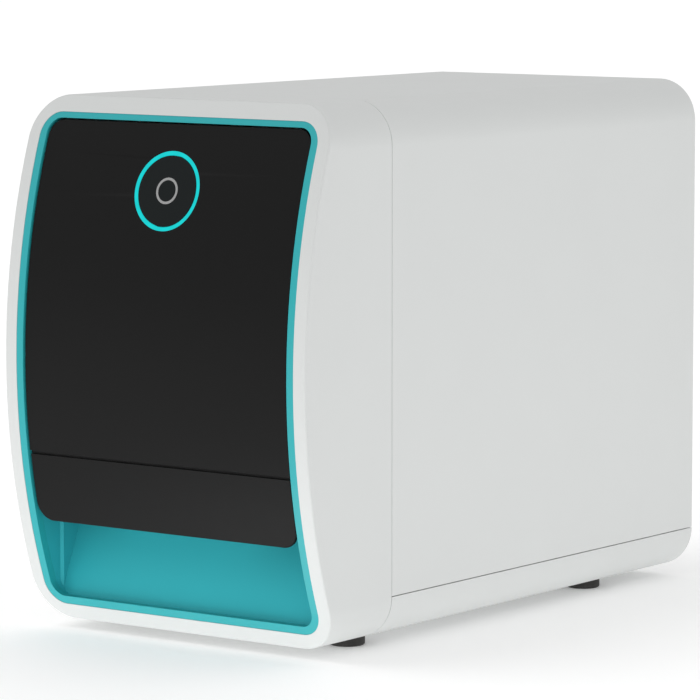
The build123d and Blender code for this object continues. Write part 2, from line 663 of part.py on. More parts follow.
# Deck plate: carries the bed rails, the lifting rods and the cap station, over the motors.
with BuildPart() as deck_plate:
    block((-BAY_X, BAY_X), deck_y, (DECK_Z - DECK_T, DECK_Z))
    for side in (-1, 1):
        rod_z(SCREW_R + 1.0, side * LIFT_X, SCREW_Y, (DECK_Z - DECK_T, DECK_Z), Mode.SUBTRACT)
    rod_z(SHAFT_R + 1.5, BED_X, BED_DRIVE_Y, (DECK_Z - DECK_T, DECK_Z), Mode.SUBTRACT)
    rod_z(SHAFT_R + 2.0, BED_X, BED_IDLER_Y, (DECK_Z, DECK_Z + 1.5))
    rod_z(SHAFT_R, BED_X, BED_IDLER_Y, (DECK_Z, PLATE_Z - 1.2))
save(deck_plate, "deck_plate")

# Tank shelf: bridges the side frames over the gantry and holds the tops of rods and screws.
with BuildPart() as tank_shelf:
    block((-BAY_X - SHEET, BAY_X + SHEET), shelf_y, (SHELF_Z, SHELF_Z + DECK_T))
    for side in (-1, 1):
        rod_z(SCREW_R + RUNNING, side * LIFT_X, SCREW_Y, (SHELF_Z, SHELF_Z + DECK_T), Mode.SUBTRACT)
save(tank_shelf, "tank_shelf")

# ============================ Flat bed ============================

rail_x = (BED_X - RAIL_SPREAD / 2, BED_X + RAIL_SPREAD / 2)
plate_front_y = front_y(PLATE_Z, PANEL_IN) + 9.0
plate_rear_y = BLOCK_FRONT_Y + BLOCK_PITCH + BLOCK_L / 2 + 1.0

# Bed rails: two ground steel rails along the deck.
with BuildPart() as bed_rails:
    for x in rail_x:
        block((x - RAIL_W / 2, x + RAIL_W / 2), (deck_y[0] + 2.0, plate_rear_y + 5.0), (DECK_Z, DECK_Z + RAIL_H))
save(bed_rails, "bed_rails")

# Bed blocks: four carriages that straddle the rails.
with BuildPart() as bed_blocks:
    for x in rail_x:
        for y in (BLOCK_FRONT_Y, BLOCK_FRONT_Y + BLOCK_PITCH):
            low = DECK_Z + BLOCK_LIFT
            block((x - BLOCK_W / 2, x + BLOCK_W / 2), (y - BLOCK_L / 2, y + BLOCK_L / 2), (low, PLATE_Z))
            slot_x = (x - RAIL_W / 2 - CLEAR / 2, x + RAIL_W / 2 + CLEAR / 2)
            slot_y = (y - BLOCK_L / 2, y + BLOCK_L / 2)
            block(slot_x, slot_y, (low, DECK_Z + RAIL_H + CLEAR / 2), Mode.SUBTRACT)
save(bed_blocks, "bed_blocks")

# Bed plate: a long plate on the blocks, with a belt clamp under it.
clamp_run_x = BED_X + PULLEY_R + BELT_GAP + BELT_T / 2
belt_low_z = DECK_Z + 3.5
with BuildPart() as bed_plate:
    plate_x = (BED_X - BED_PLATE_W / 2, BED_X + BED_PLATE_W / 2)
    block(plate_x, (plate_front_y, plate_rear_y), (PLATE_Z, PLATE_Z + BED_PLATE_T))
    clamp_x = (clamp_run_x - 5.0, clamp_run_x + 5.0)
    clamp_y = (BLOCK_FRONT_Y - CLAMP_L / 2, BLOCK_FRONT_Y + CLAMP_L / 2)
    block(clamp_x, clamp_y, (belt_low_z - 1.0, PLATE_Z))
    gap_x = (clamp_run_x - BELT_T / 2 - CLEAR, clamp_run_x + BELT_T / 2 + CLEAR)
    block(gap_x, clamp_y, (belt_low_z - 1.0, belt_low_z + BELT_W + CLEAR), Mode.SUBTRACT)
save(bed_plate, "bed_plate")

# Flat table: the drilled bed that work is laid on, standing on four feet of its own.
table_x = (BED_X - TABLE_W / 2, BED_X + TABLE_W / 2)
table_y = (FRONT_Y + TABLE_FRONT, FRONT_Y + TABLE_FRONT + TABLE_L)
with BuildPart() as flat_table:
    block(table_x, table_y, (TABLE_Z, TABLE_Z + TABLE_T))
    with Locations((BED_X, sum(table_y) / 2, TABLE_Z + TABLE_T)):
        with GridLocations(20, 20, 7, 8):
            CounterSinkHole(1.6, 2.4, depth=TABLE_T)
    for x in (BED_X - BED_PLATE_W / 2 + 12.0, BED_X + BED_PLATE_W / 2 - 12.0):
        for y in (table_y[0] + 15.0, table_y[1] - 15.0):
            rod_z(STANDOFF_R, x, y, (PLATE_Z + BED_PLATE_T, TABLE_Z))
save(flat_table, "flat_table")

# Drawer front: the lower black front, rounded at its two lower corners.
with BuildPart() as drawer_front:
    with BuildSketch(Plane.XZ) as drawer_outline:
        with Locations((0, (DRAWER_LOW_Z + DRAWER_TOP_Z) / 2)):
            Rectangle(2 * PANEL_X, DRAWER_TOP_Z - DRAWER_LOW_Z)
        fillet(drawer_outline.vertices().group_by(Axis.Y)[0], DRAWER_CORNER_R)
    extrude(amount=BODY_D / 2)
    bow(PANEL_RECESS, PANEL_IN)
save(drawer_front, "drawer_front")

# Drawer bracket: ties the drawer front to the bed plate.
with BuildPart() as drawer_bracket:
    bracket_top = CROSSBAR_LOW_Z - 2.0
    block(plate_x, (FRONT_Y, plate_front_y), (PLATE_Z - 1.0, bracket_top))
    front_cylinder(PANEL_IN, Mode.INTERSECT)
    block(plate_x, (plate_front_y - 1.0, plate_front_y + 24.0), (PLATE_Z + BED_PLATE_T, PLATE_Z + BED_PLATE_T + 3.0))
save(drawer_bracket, "drawer_bracket")


def motor(x, y, side, length, bore_r):
    """A square motor under the deck, whose shaft bore opens upwards."""
    face = DECK_Z - DECK_T
    block((x - side / 2, x + side / 2), (y - side / 2, y + side / 2), (face - length, face))
    rod_z(bore_r, x, y, (face - MOTOR_BORE_L, face), Mode.SUBTRACT)


# Bed motor and belt: the motor hangs under the deck and the belt runs flat above it.
with BuildPart() as bed_motor:
    motor(BED_X, BED_DRIVE_Y, MOTOR_SIDE, MOTOR_L, SHAFT_R + RUNNING)
    fillet(bed_motor.edges().filter_by(Axis.Z).filter_by(GeomType.LINE), 4.0)
save(bed_motor, "bed_motor")

with BuildPart() as bed_belt:
    belt_mid_y = (BED_DRIVE_Y + BED_IDLER_Y) / 2
    belt_plane = Plane(origin=(BED_X, belt_mid_y, belt_low_z), x_dir=(0, 1, 0), z_dir=(0, 0, 1))
    belt_loop(belt_plane, BED_DRIVE_Y - BED_IDLER_Y)
save(bed_belt, "bed_belt")

pulley_low = belt_low_z - (PULLEY_W - BELT_W) / 2
with BuildPart() as bed_pulley:
    rod_z(PULLEY_R, BED_X, BED_DRIVE_Y, (pulley_low, pulley_low + PULLEY_W))
    rod_z(SHAFT_R, BED_X, BED_DRIVE_Y, (DECK_Z - DECK_T - MOTOR_BORE_L + 1.0, pulley_low))
save(bed_pulley, "bed_pulley")

with BuildPart() as bed_idler:
    rod_z(PULLEY_R, BED_X, BED_IDLER_Y, (pulley_low, pulley_low + PULLEY_W))
    rod_z(SHAFT_R + RUNNING, BED_X, BED_IDLER_Y, (pulley_low, pulley_low + PULLEY_W), Mode.SUBTRACT)
save(bed_idler, "bed_idler")

# ============================ Lifting gantry ============================

beam_x = (-BAY_X + BEAM_END_GAP, BAY_X - BEAM_END_GAP)
beam_y = (BEAM_Y, BEAM_Y + BEAM_D)
beam_z = (BEAM_Z, BEAM_Z + BEAM_H)

with BuildPart() as guide_rods:
    for side in (-1, 1):
        rod_z(ROD_R, side * LIFT_X, ROD_Y, (DECK_Z, SHELF_Z))
save(guide_rods, "guide_rods")

with BuildPart() as lift_motors:
    for side in (-1, 1):
        motor(side * LIFT_X, SCREW_Y, LIFT_MOTOR_SIDE, LIFT_MOTOR_L, SCREW_R + RUNNING)
save(lift_motors, "lift_motors")

for side, screw_name in ((-1, "lift_screw_left"), (1, "lift_screw_right")):
    with BuildPart() as lift_screw:
        low = DECK_Z - DECK_T - MOTOR_BORE_L + 1.0
        rod_z(SCREW_R, side * LIFT_X, SCREW_Y, (low, SHELF_Z + DECK_T))
    save(lift_screw, screw_name)

with BuildPart() as lift_bushes:
    for side in (-1, 1):
        for y in (ROD_Y, SCREW_Y):
            rod_z(BUSH_R, side * LIFT_X, y, beam_z)
            rod_z(ROD_R + RUNNING, side * LIFT_X, y, beam_z, Mode.SUBTRACT)
save(lift_bushes, "lift_bushes")

# Gantry beam: bored for the bushes and the drive shaft, with the idler's pin on its face.
pulley_y = (BEAM_Y - 12.0, BEAM_Y - 12.0 + PULLEY_W)
with BuildPart() as gantry_beam:
    block(beam_x, beam_y, beam_z)
    for side in (-1, 1):
        for y in (ROD_Y, SCREW_Y):
            rod_z(BUSH_R, side * LIFT_X, y, beam_z, Mode.SUBTRACT)
    rod_y(SHAFT_R + 1.5, DRIVE_X, beam_y, BELT_Z, Mode.SUBTRACT)
    rod_y(SHAFT_R + 2.0, IDLER_X, (pulley_y[1] + CLEAR, BEAM_Y), BELT_Z)
    rod_y(SHAFT_R, IDLER_X, (pulley_y[0] - 0.5, BEAM_Y), BELT_Z)
save(gantry_beam, "gantry_beam")

carriage_rail_z = BEAM_Z + 8.0
with BuildPart() as carriage_rail:
    rail_z = (carriage_rail_z - RAIL_W / 2, carriage_rail_z + RAIL_W / 2)
    block((beam_x[0] + 2.0, beam_x[1] - 2.0), (BEAM_Y - RAIL_H, BEAM_Y), rail_z)
save(carriage_rail, "carriage_rail")

with BuildPart() as carriage_motor:
    motor_x = (DRIVE_X - MOTOR_SIDE / 2, DRIVE_X + MOTOR_SIDE / 2)
    motor_z = (BELT_Z - MOTOR_SIDE / 2, BELT_Z + MOTOR_SIDE / 2)
    block(motor_x, (beam_y[1], beam_y[1] + MOTOR_L), motor_z)
    rod_y(SHAFT_R + RUNNING, DRIVE_X, (beam_y[1], beam_y[1] + MOTOR_BORE_L), BELT_Z, Mode.SUBTRACT)
    fillet(carriage_motor.edges().filter_by(Axis.Y).filter_by(GeomType.LINE), 4.0)
save(carriage_motor, "carriage_motor")

belt_y = (pulley_y[0] + 1.0, pulley_y[0] + 1.0 + BELT_W)
with BuildPart() as carriage_belt:
    belt_mid_x = (DRIVE_X + IDLER_X) / 2
    belt_plane = Plane(origin=(belt_mid_x, belt_y[1], BELT_Z), x_dir=(1, 0, 0), z_dir=(0, -1, 0))
    belt_loop(belt_plane, IDLER_X - DRIVE_X)
save(carriage_belt, "carriage_belt")

with BuildPart() as carriage_pulley:
    rod_y(PULLEY_R, DRIVE_X, pulley_y, BELT_Z)
    rod_y(SHAFT_R, DRIVE_X, (pulley_y[1], beam_y[1] + MOTOR_BORE_L - 1.0), BELT_Z)
save(carriage_pulley, "carriage_pulley")

with BuildPart() as carriage_idler:
    rod_y(PULLEY_R, IDLER_X, pulley_y, BELT_Z)
    rod_y(SHAFT_R + RUNNING, IDLER_X, pulley_y, BELT_Z, Mode.SUBTRACT)
save(carriage_idler, "carriage_idler")

# ============================ Print carriage ============================

carriage_x = (HOME_X - CARRIAGE_LEFT, HOME_X + CARRIAGE_RIGHT)
block_y = (BEAM_Y - BLOCK_STACK, BEAM_Y - BLOCK_LIFT)
back_y = (block_y[0] - CARRIAGE_PLATE_T, block_y[0])
ledge_z = (NOZZLE_Z + SHELF_PLATE_RISE, NOZZLE_Z + SHELF_PLATE_RISE + CARRIAGE_PLATE_T)
head_x = (HOME_X - HEAD_W / 2 + 4.0, HOME_X + HEAD_W / 2 + 4.0)
head_y = (HEAD_MID_Y - HEAD_D / 2, HEAD_MID_Y + HEAD_D / 2)
lamp_x = (carriage_x[0] + 3.0, carriage_x[0] + 3.0 + LAMP_W)

with BuildPart() as carriage_block:
    block_x = (HOME_X - CARRIAGE_BLOCK_L / 2, HOME_X + CARRIAGE_BLOCK_L / 2)
    block(block_x, block_y, (carriage_rail_z - BLOCK_W / 2, carriage_rail_z + BLOCK_W / 2))
    slot_z = (carriage_rail_z - RAIL_W / 2 - CLEAR / 2, carriage_rail_z + RAIL_W / 2 + CLEAR / 2)
    block(block_x, (BEAM_Y - RAIL_H - CLEAR / 2, block_y[1]), slot_z, Mode.SUBTRACT)
save(carriage_block, "carriage_block")

# Carriage frame: an upright plate on the block, a ledge for head and lamp, and a belt clamp.
upper_run_z = BELT_Z + PULLEY_R + BELT_GAP + BELT_T / 2
clamp_x = (HOME_X - CLAMP_L / 2, HOME_X + CLAMP_L / 2)
with BuildPart() as carriage_frame:
    block(carriage_x, back_y, (ledge_z[0], upper_run_z + 6.0))
    block(carriage_x, (head_y[0] - 5.0, back_y[1]), ledge_z)
    block(head_x, head_y, ledge_z, Mode.SUBTRACT)
    block(lamp_x, head_y, ledge_z, Mode.SUBTRACT)
    block(clamp_x, (back_y[1], belt_y[1]), (upper_run_z - 3.0, upper_run_z + 3.0))
    gap_z = (upper_run_z - BELT_T / 2 - CLEAR, upper_run_z + BELT_T / 2 + CLEAR)
    block(clamp_x, (belt_y[0] - CLEAR, belt_y[1]), gap_z, Mode.SUBTRACT)
save(carriage_frame, "carriage_frame")

# Print head: passes down through the ledge and hangs on a collar.
with BuildPart() as print_head:
    block(head_x, head_y, (NOZZLE_Z, NOZZLE_Z + HEAD_H))
    collar_x = (head_x[0] - HEAD_COLLAR, head_x[1] + HEAD_COLLAR)
    collar_y = (head_y[0] - HEAD_COLLAR, head_y[1] + HEAD_COLLAR)
    block(collar_x, collar_y, (ledge_z[1], ledge_z[1] + 3.0))
save(print_head, "print_head")

with BuildPart() as uv_lamp:
    lamp_low = NOZZLE_Z + LAMP_RISE
    block(lamp_x, head_y, (lamp_low, lamp_low + LAMP_H))
    block((lamp_x[0] - 2.0, lamp_x[1] + 2.0), collar_y, (ledge_z[1], ledge_z[1] + 3.0))
    with Locations((sum(lamp_x) / 2, HEAD_MID_Y, lamp_low + LAMP_H)):
        with GridLocations(1, 5.0, 1, 6):
            Box(LAMP_W - 3.0, 2.0, 14.0, mode=Mode.SUBTRACT)
save(uv_lamp, "uv_lamp")

# ============================ Cap station ============================

cap_x = (sum(head_x) / 2 - CAP_W / 2, sum(head_x) / 2 + CAP_W / 2)
cap_y = (HEAD_MID_Y - CAP_D / 2, HEAD_MID_Y + CAP_D / 2)
tray_low = NOZZLE_Z - CLEAR - 12.0
with BuildPart() as cap_station:
    station_x = (cap_x[0] - STATION_RIM, cap_x[1] + STATION_RIM)
    station_y = (cap_y[0] + 2.0 - STATION_RIM, cap_y[1] + STATION_RIM)
    block(station_x, station_y, (DECK_Z, tray_low + 3.0))
    well_x = (cap_x[0] - CLEAR, cap_x[1] + CLEAR)
    well_y = (cap_y[0] + 2.0 - CLEAR, cap_y[1] + CLEAR)
    block(well_x, well_y, (tray_low - CAP_DROP - 1.0, tray_low + 3.0), Mode.SUBTRACT)
save(cap_station, "cap_station")

with BuildPart() as cap_tray:
    block(cap_x, (cap_y[0] + 2.0, cap_y[1]), (tray_low, NOZZLE_Z - CLEAR))
    inner_x = (cap_x[0] + CAP_WALL, cap_x[1] - CAP_WALL)
    inner_y = (cap_y[0] + 2.0 + CAP_WALL, cap_y[1] - CAP_WALL)
    block(inner_x, inner_y, (tray_low + 3.0, NOZZLE_Z), Mode.SUBTRACT)
save(cap_tray, "cap_tray")

with BuildPart() as wiper_blade:
    wiper_x = (station_x[0] - WIPER_T, station_x[0])
    block(wiper_x, (cap_y[0] + 4.0, cap_y[1]), (DECK_Z, NOZZLE_Z - CLEAR))
save(wiper_blade, "wiper_blade")

# ============================ Ink tanks ============================

for index in range(TANK_COUNT):
    with BuildPart() as ink_tank:
        tank_x = (index - (TANK_COUNT - 1) / 2) * (TANK_W + TANK_GAP)
        tank_low = SHELF_Z + DECK_T
        tank_high = TOP_Z - WALL - TANK_HEADROOM - TANK_CAP_H
        tank_mid_y = sum(shelf_y) / 2
        tank_half = TANK_W / 2
        tank_y = (tank_mid_y - TANK_D / 2, tank_mid_y + TANK_D / 2)
        block((tank_x - tank_half, tank_x + tank_half), tank_y, (tank_low, tank_high))
        fillet(ink_tank.edges().filter_by(Axis.Z), 5.0)
        rod_z(TANK_CAP_R, tank_x, tank_mid_y, (tank_high, tank_high + TANK_CAP_H))
    save(ink_tank, f"ink_tank_{index + 1}")

# ============================ Electronics ============================

electronics_y = FRONT_Y + ELECTRONICS_FRONT
with BuildPart() as power_supply:
    supply_x = (-CHASSIS_X + SHEET + 2.0, -CHASSIS_X + SHEET + 2.0 + SUPPLY_W)
    supply_z = (CHASSIS_Z + SHEET, CHASSIS_Z + SHEET + SUPPLY_H)
    block(supply_x, (electronics_y, electronics_y + SUPPLY_L), supply_z)
save(power_supply, "power_supply")

with BuildPart() as main_board:
    board_x = (CHASSIS_X - SHEET - 4.0 - BOARD_W, CHASSIS_X - SHEET - 4.0)
    board_y = (electronics_y, electronics_y + BOARD_L)
    board_z = CHASSIS_Z + SHEET + BOARD_LIFT
    block(board_x, board_y, (board_z, board_z + BOARD_T))
    for x in (board_x[0] + 6.0, board_x[1] - 6.0):
        for y in (board_y[0] + 6.0, board_y[1] - 6.0):
            rod_z(3.0, x, y, (CHASSIS_Z + SHEET, board_z))
    with Locations((sum(board_x) / 2, board_y[0] + 40.0, board_z + BOARD_T + 6.0)):
        with GridLocations(20.0, 24.0, 3, 2):
            Box(14.0, 14.0, 12.0)
    with Locations((sum(board_x) / 2, board_y[1] - 40.0, board_z + BOARD_T + 4.0)):
        Box(36.0, 30.0, 8.0)
save(main_board, "main_board")

# Fan: a square frame on the rear panel with a bladed rotor on its axis.
fan_y = (REAR_PANEL_Y - FAN_T, REAR_PANEL_Y)
with BuildPart() as fan_frame:
    fan_x = (FAN_X - FAN_SIDE / 2, FAN_X + FAN_SIDE / 2)
    block(fan_x, fan_y, (fan_z - FAN_SIDE / 2, fan_z + FAN_SIDE / 2))
    rod_y(FAN_BORE_R, FAN_X, fan_y, fan_z, Mode.SUBTRACT)
    rod_y(FAN_HUB_R, FAN_X, (fan_y[1] - 2.0, fan_y[1]), fan_z)
    block((FAN_X - FAN_BORE_R - 1, FAN_X + FAN_BORE_R + 1), (fan_y[1] - 2.0, fan_y[1]), (fan_z - 2, fan_z + 2))
    rod_y(SHAFT_R, FAN_X, (fan_y[0] + 3.0, fan_y[1] - 2.0), fan_z)
save(fan_frame, "fan_frame")

with BuildPart() as fan_rotor:
    rotor_y = (fan_y[0] + 1.0, fan_y[1] - 3.0)
    rod_y(FAN_HUB_R, FAN_X, rotor_y, fan_z)
    with Locations(Location((FAN_X, sum(rotor_y) / 2, fan_z), (90, 0, 0))):
        with PolarLocations((FAN_HUB_R + FAN_BORE_R) / 2 - 1.5, FAN_BLADES):
            Box(FAN_BORE_R - FAN_HUB_R - 1.0, 1.4, rotor_y[1] - rotor_y[0], rotation=(35, 0, 0))
    rod_y(FAN_BORE_R - 1.0, FAN_X, (rotor_y[0] + 0.5, rotor_y[1] - 0.5), fan_z, Mode.INTERSECT)
    rod_y(SHAFT_R + RUNNING, FAN_X, (fan_y[0] + 2.95, rotor_y[1]), fan_z, Mode.SUBTRACT)
save(fan_rotor, "fan_rotor")

# Mains inlet with a rocker switch over it, and a data port.
rocker_z = inlet_z + INLET_H / 2 - ROCKER_H / 2 - 4.0
inlet_y = (REAR_PANEL_Y + WALL - INLET_L, REAR_PANEL_Y + WALL)
rocker_y = inlet_y[1] - ROCKER_R + 4.0
with BuildPart() as mains_inlet:
    block((INLET_X - INLET_W / 2, INLET_X + INLET_W / 2), inlet_y, (inlet_z - INLET_H / 2, inlet_z + INLET_H / 2))
    socket_z = (inlet_z - INLET_H / 2 + 3.5, inlet_z - INLET_H / 2 + 20.0)
    block((INLET_X - 12.0, INLET_X + 12.0), (inlet_y[1] - 14.0, inlet_y[1]), socket_z, Mode.SUBTRACT)
    for pin_x in (INLET_X - 7.0, INLET_X, INLET_X + 7.0):
        pin_z = sum(socket_z) / 2
        block((pin_x - 1.0, pin_x + 1.0), (inlet_y[1] - 15.0, inlet_y[1] - 3.0), (pin_z - 2.0, pin_z + 2.0))
    rocker_x = (INLET_X - ROCKER_W / 2 - CLEAR, INLET_X + ROCKER_W / 2 + CLEAR)
    rocker_span = (rocker_z - ROCKER_H / 2 - 1.0, rocker_z + ROCKER_H / 2 + 1.0)
    block(rocker_x, (inlet_y[1] - 18.0, inlet_y[1]), rocker_span, Mode.SUBTRACT)
    pin_bore = (rocker_x[0] - ROCKER_PIN_L, rocker_x[1] + ROCKER_PIN_L)
    rod_x(ROCKER_PIN_R + RUNNING, pin_bore, rocker_y, rocker_z, Mode.SUBTRACT)
save(mains_inlet, "mains_inlet")

with BuildPart() as power_switch:
    switch_plane = Plane(origin=(INLET_X + ROCKER_W / 2, rocker_y, rocker_z), x_dir=(0, 1, 0), z_dir=(1, 0, 0))
    with BuildSketch(switch_plane):
        Polygon((-2, -5), (-2, 5), (4, 8.6), (6.5, 8.6), (5.5, 0), (8.0, -8.2), (4, -8.6), align=None)
    extrude(amount=-ROCKER_W)
    pin_reach = ROCKER_W / 2 + ROCKER_PIN_L
    rod_x(ROCKER_PIN_R, (INLET_X - pin_reach, INLET_X + pin_reach), rocker_y, rocker_z)
save(power_switch, "power_switch")

with BuildPart() as data_port:
    port_x = (PORT_X - PORT_W / 2, PORT_X + PORT_W / 2)
    port_y = (REAR_PANEL_Y - 14.0, REAR_PANEL_Y + WALL)
    block(port_x, port_y, (port_z - PORT_H / 2, port_z + PORT_H / 2))
    block((port_x[0] + 2, port_x[1] - 2), (port_y[1] - 10, port_y[1]), (port_z - 4, port_z + 4), Mode.SUBTRACT)
    block((port_x[0] + 3, port_x[1] - 3), (port_y[1] - 10, port_y[1] - 1), (port_z - 1, port_z + 1))
save(data_port, "data_port")
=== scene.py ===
"""Visual model of a compact desktop flatbed UV printer, dressed round its CAD frame.

Every CAD node keeps its place and size. The case, fronts and mechanism are refined from their CAD
solids with smooth shading and small edge radii, and fine detail is added on top of them: threads,
belt teeth, motor caps, screw sockets, fins, fan blades and electronic parts.
"""

from __future__ import annotations

import json
import logging
import math

from collections.abc import Callable
from dataclasses import dataclass
from enum import Enum

import bmesh
import bpy
from mathutils import Matrix, Vector


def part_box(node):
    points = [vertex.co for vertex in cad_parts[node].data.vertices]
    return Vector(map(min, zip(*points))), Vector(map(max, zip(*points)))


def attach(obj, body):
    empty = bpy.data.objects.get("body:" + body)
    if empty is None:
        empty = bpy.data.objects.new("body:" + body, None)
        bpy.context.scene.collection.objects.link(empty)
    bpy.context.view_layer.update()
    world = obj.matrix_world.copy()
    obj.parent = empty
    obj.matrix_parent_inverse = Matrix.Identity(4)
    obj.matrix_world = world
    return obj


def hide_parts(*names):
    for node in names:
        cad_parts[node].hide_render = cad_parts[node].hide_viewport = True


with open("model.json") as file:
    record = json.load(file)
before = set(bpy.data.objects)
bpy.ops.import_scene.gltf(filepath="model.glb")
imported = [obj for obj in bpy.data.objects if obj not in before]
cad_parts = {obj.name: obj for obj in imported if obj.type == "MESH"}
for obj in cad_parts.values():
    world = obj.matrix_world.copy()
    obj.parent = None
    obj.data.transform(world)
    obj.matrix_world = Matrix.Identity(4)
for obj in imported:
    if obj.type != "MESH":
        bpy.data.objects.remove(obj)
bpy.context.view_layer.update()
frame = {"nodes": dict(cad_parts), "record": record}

logging.basicConfig(level=logging.INFO, format="%(name)s: %(message)s")
LOG = logging.getLogger("printer")

MM = 0.001
MERGE = 2e-6
UP = Vector((0.0, 0.0, 1.0))
NODES = frame["nodes"]
BODY_OF = {node: body for body, nodes in frame["record"]["behaviour"]["bodies"].items() for node in nodes}


# ============================ Shader graph ============================


class Socket:
    """One output socket of a shader graph, with arithmetic that adds Math nodes."""

    def __init__(self, graph: Graph, socket: bpy.types.NodeSocket) -> None:
        """Wraps an output socket.

        Args:
            graph: The graph that the socket belongs to.
            socket: The output socket.
        """
        self.graph = graph
        self.socket = socket

    def math(self, operation: str, *others: Socket | float, clamp: bool = False) -> Socket:
        """Adds a Math node that starts from this socket.

        Args:
            operation: The Math node's operation.
            others: The other operands.
            clamp: Whether the result is held between 0 and 1.

        Returns:
            The result.
        """
        settings = {"operation": operation, "use_clamp": clamp}
        return self.graph.node("ShaderNodeMath", settings, dict(enumerate((self, *others))))["Value"]

    def __add__(self, other: Socket | float) -> Socket:
        """Adds."""
        return self.math("ADD", other)

    __radd__ = __add__

    def __sub__(self, other: Socket | float) -> Socket:
        """Subtracts."""
        return self.math("SUBTRACT", other)

    def __rsub__(self, other: float) -> Socket:
        """Subtracts this from a number."""
        return (self * -1.0) + other

    def __mul__(self, other: Socket | float) -> Socket:
        """Multiplies."""
        return self.math("MULTIPLY", other)

    __rmul__ = __mul__

    def __truediv__(self, other: Socket | float) -> Socket:
        """Divides."""
        return self.math("DIVIDE", other)

    def __gt__(self, other: Socket | float) -> Socket:
        """Gives 1 where this is greater."""
        return self.math("GREATER_THAN", other)

    def __lt__(self, other: Socket | float) -> Socket:
        """Gives 1 where this is less."""
        return self.math("LESS_THAN", other)

    def clamped(self) -> Socket:
        """Holds the value between 0 and 1."""
        return self.math("ADD", 0.0, clamp=True)

    def ramp(self, low: float, high: float) -> Socket:
        """Maps low to 0 and high to 1, smoothly.

        Args:
            low: The value that gives 0.
            high: The value that gives 1.

        Returns:
            The mapped value.
        """
        settings = {"interpolation_type": "SMOOTHSTEP", "clamp": True}
        values = {"Value": self, "From Min": low, "From Max": high, "To Min": 0.0, "To Max": 1.0}
        return self.graph.node("ShaderNodeMapRange", settings, values)["Result"]


class Outputs:
    """The outputs of one node, found by name or by number."""

    def __init__(self, graph: Graph, node: bpy.types.Node) -> None:
        """Keeps the node.

        Args:
            graph: The graph that the node belongs to.
            node: The node.
        """
        self.graph = graph
        self.node = node

    def __getitem__(self, key: str | int) -> Socket:
        """Gives one output that is in use."""
        if isinstance(key, str):
            found = [output for output in self.node.outputs if output.name == key and output.enabled]
            return Socket(self.graph, found[0])
        return Socket(self.graph, self.node.outputs[key])


class Graph:
    """A material's node graph, written as Python expressions."""

    def __init__(self, name: str) -> None:
        """Makes an empty material.

        Args:
            name: The material's name.
        """
        self.material = bpy.data.materials.new(name)
        self.material.use_nodes = True
        self.tree = self.material.node_tree
        self.tree.nodes.clear()

    def node(self, kind: str, settings: dict | None = None, values: dict | None = None) -> Outputs:
        """Adds any node.

        Args:
            kind: The node's type name.
            settings: Attributes that are set first.
            values: Numbers, colours or links for its input sockets, by name or number.

        Returns:
            The node's outputs.
        """
        made = self.tree.nodes.new(kind)
        for key, value in (settings or {}).items():
            setattr(made, key, value)
        for key, value in (values or {}).items():
            self._feed(made, key, value)
        return Outputs(self, made)

    def _feed(self, made: bpy.types.Node, key: str | int, value: object) -> None:
        """Sets or links one input socket.

        Args:
            made: The node.
            key: The input's name or number.
            value: A Socket, a number, or a tuple.
        """
        if isinstance(key, str):
            target = next(entry for entry in made.inputs if entry.name == key and entry.enabled)
        else:
            target = made.inputs[key]
        if isinstance(value, Socket):
            self.tree.links.new(value.socket, target)
        elif target.type == "RGBA" and len(value) == 3:
            target.default_value = (*value, 1.0)
        else:
            target.default_value = value

    def place(self, scale: tuple[float, float, float] = (1.0, 1.0, 1.0)) -> Socket:
        """Gives Object coordinates, stretched.

        Args:
            scale: The stretch along each axis.

        Returns:
            The coordinates.
        """
        where = self.node("ShaderNodeTexCoord")["Object"]
        return self.node("ShaderNodeMapping", None, {"Vector": where, "Scale": scale})["Vector"]

    def noise(self, scale: float, detail: float = 3.0, stretch: tuple = (1.0, 1.0, 1.0)) -> Socket:
        """Adds a noise pattern between 0 and 1.

        Args:
            scale: Cells for each metre.
            detail: Octaves.
            stretch: The stretch of its coordinates along each axis.

        Returns:
            The pattern.
        """
        values = {"Vector": self.place(stretch), "Scale": scale, "Detail": detail}
        return self.node("ShaderNodeTexNoise", None, values)["Fac"]

    def axis(self, index: int) -> Socket:
        """Gives one Object coordinate, in metres."""
        return self.node("ShaderNodeSeparateXYZ", None, {0: self.place()})[index]

    def tint(self, mask: Socket, low: tuple, high: tuple) -> Socket:
        """Mixes two colours by a mask.

        Args:
            mask: 0 gives low and 1 gives high.
            low: The first colour.
            high: The second colour.

        Returns:
            The colour.
        """
        values = {"Factor": mask, 6: low, 7: high}
        return self.node("ShaderNodeMix", {"data_type": "RGBA"}, values)[2]

    def bump(self, height: Socket, strength: float, distance: float, under: Socket | None = None) -> Socket:
        """Adds a Bump node.

        Args:
            height: The height pattern.
            strength: How much of it is used.
            distance: The height of 1, in metres.
            under: A normal that this one builds on.

        Returns:
            The normal.
        """
        values = {"Strength": strength, "Distance": distance, "Height": height}
        if under is not None:
            values["Normal"] = under
        return self.node("ShaderNodeBump", None, values)["Normal"]

    def finish(self, values: dict) -> bpy.types.Material:
        """Ends the graph in one Principled shader.

        Args:
            values: The shader's inputs.

        Returns:
            The material.
        """
        shader = self.node("ShaderNodeBsdfPrincipled", None, values)[0]
        self.node("ShaderNodeOutputMaterial", None, {"Surface": shader})
        return self.material


# ============================ Finishes ============================


def tone(level: float, warmth: float = 0.0) -> tuple[float, float, float]:
    """Gives a near-grey linear colour.

    Args:
        level: Its brightness.
        warmth: How far it leans to red.

    Returns:
        The colour.
    """
    return (level * (1.0 + warmth), level, level * (1.0 - warmth))


def scaled(colour: tuple, factor: float) -> tuple[float, float, float]:
    """Gives a colour made lighter or darker."""
    return tuple(min(1.0, channel * factor) for channel in colour)


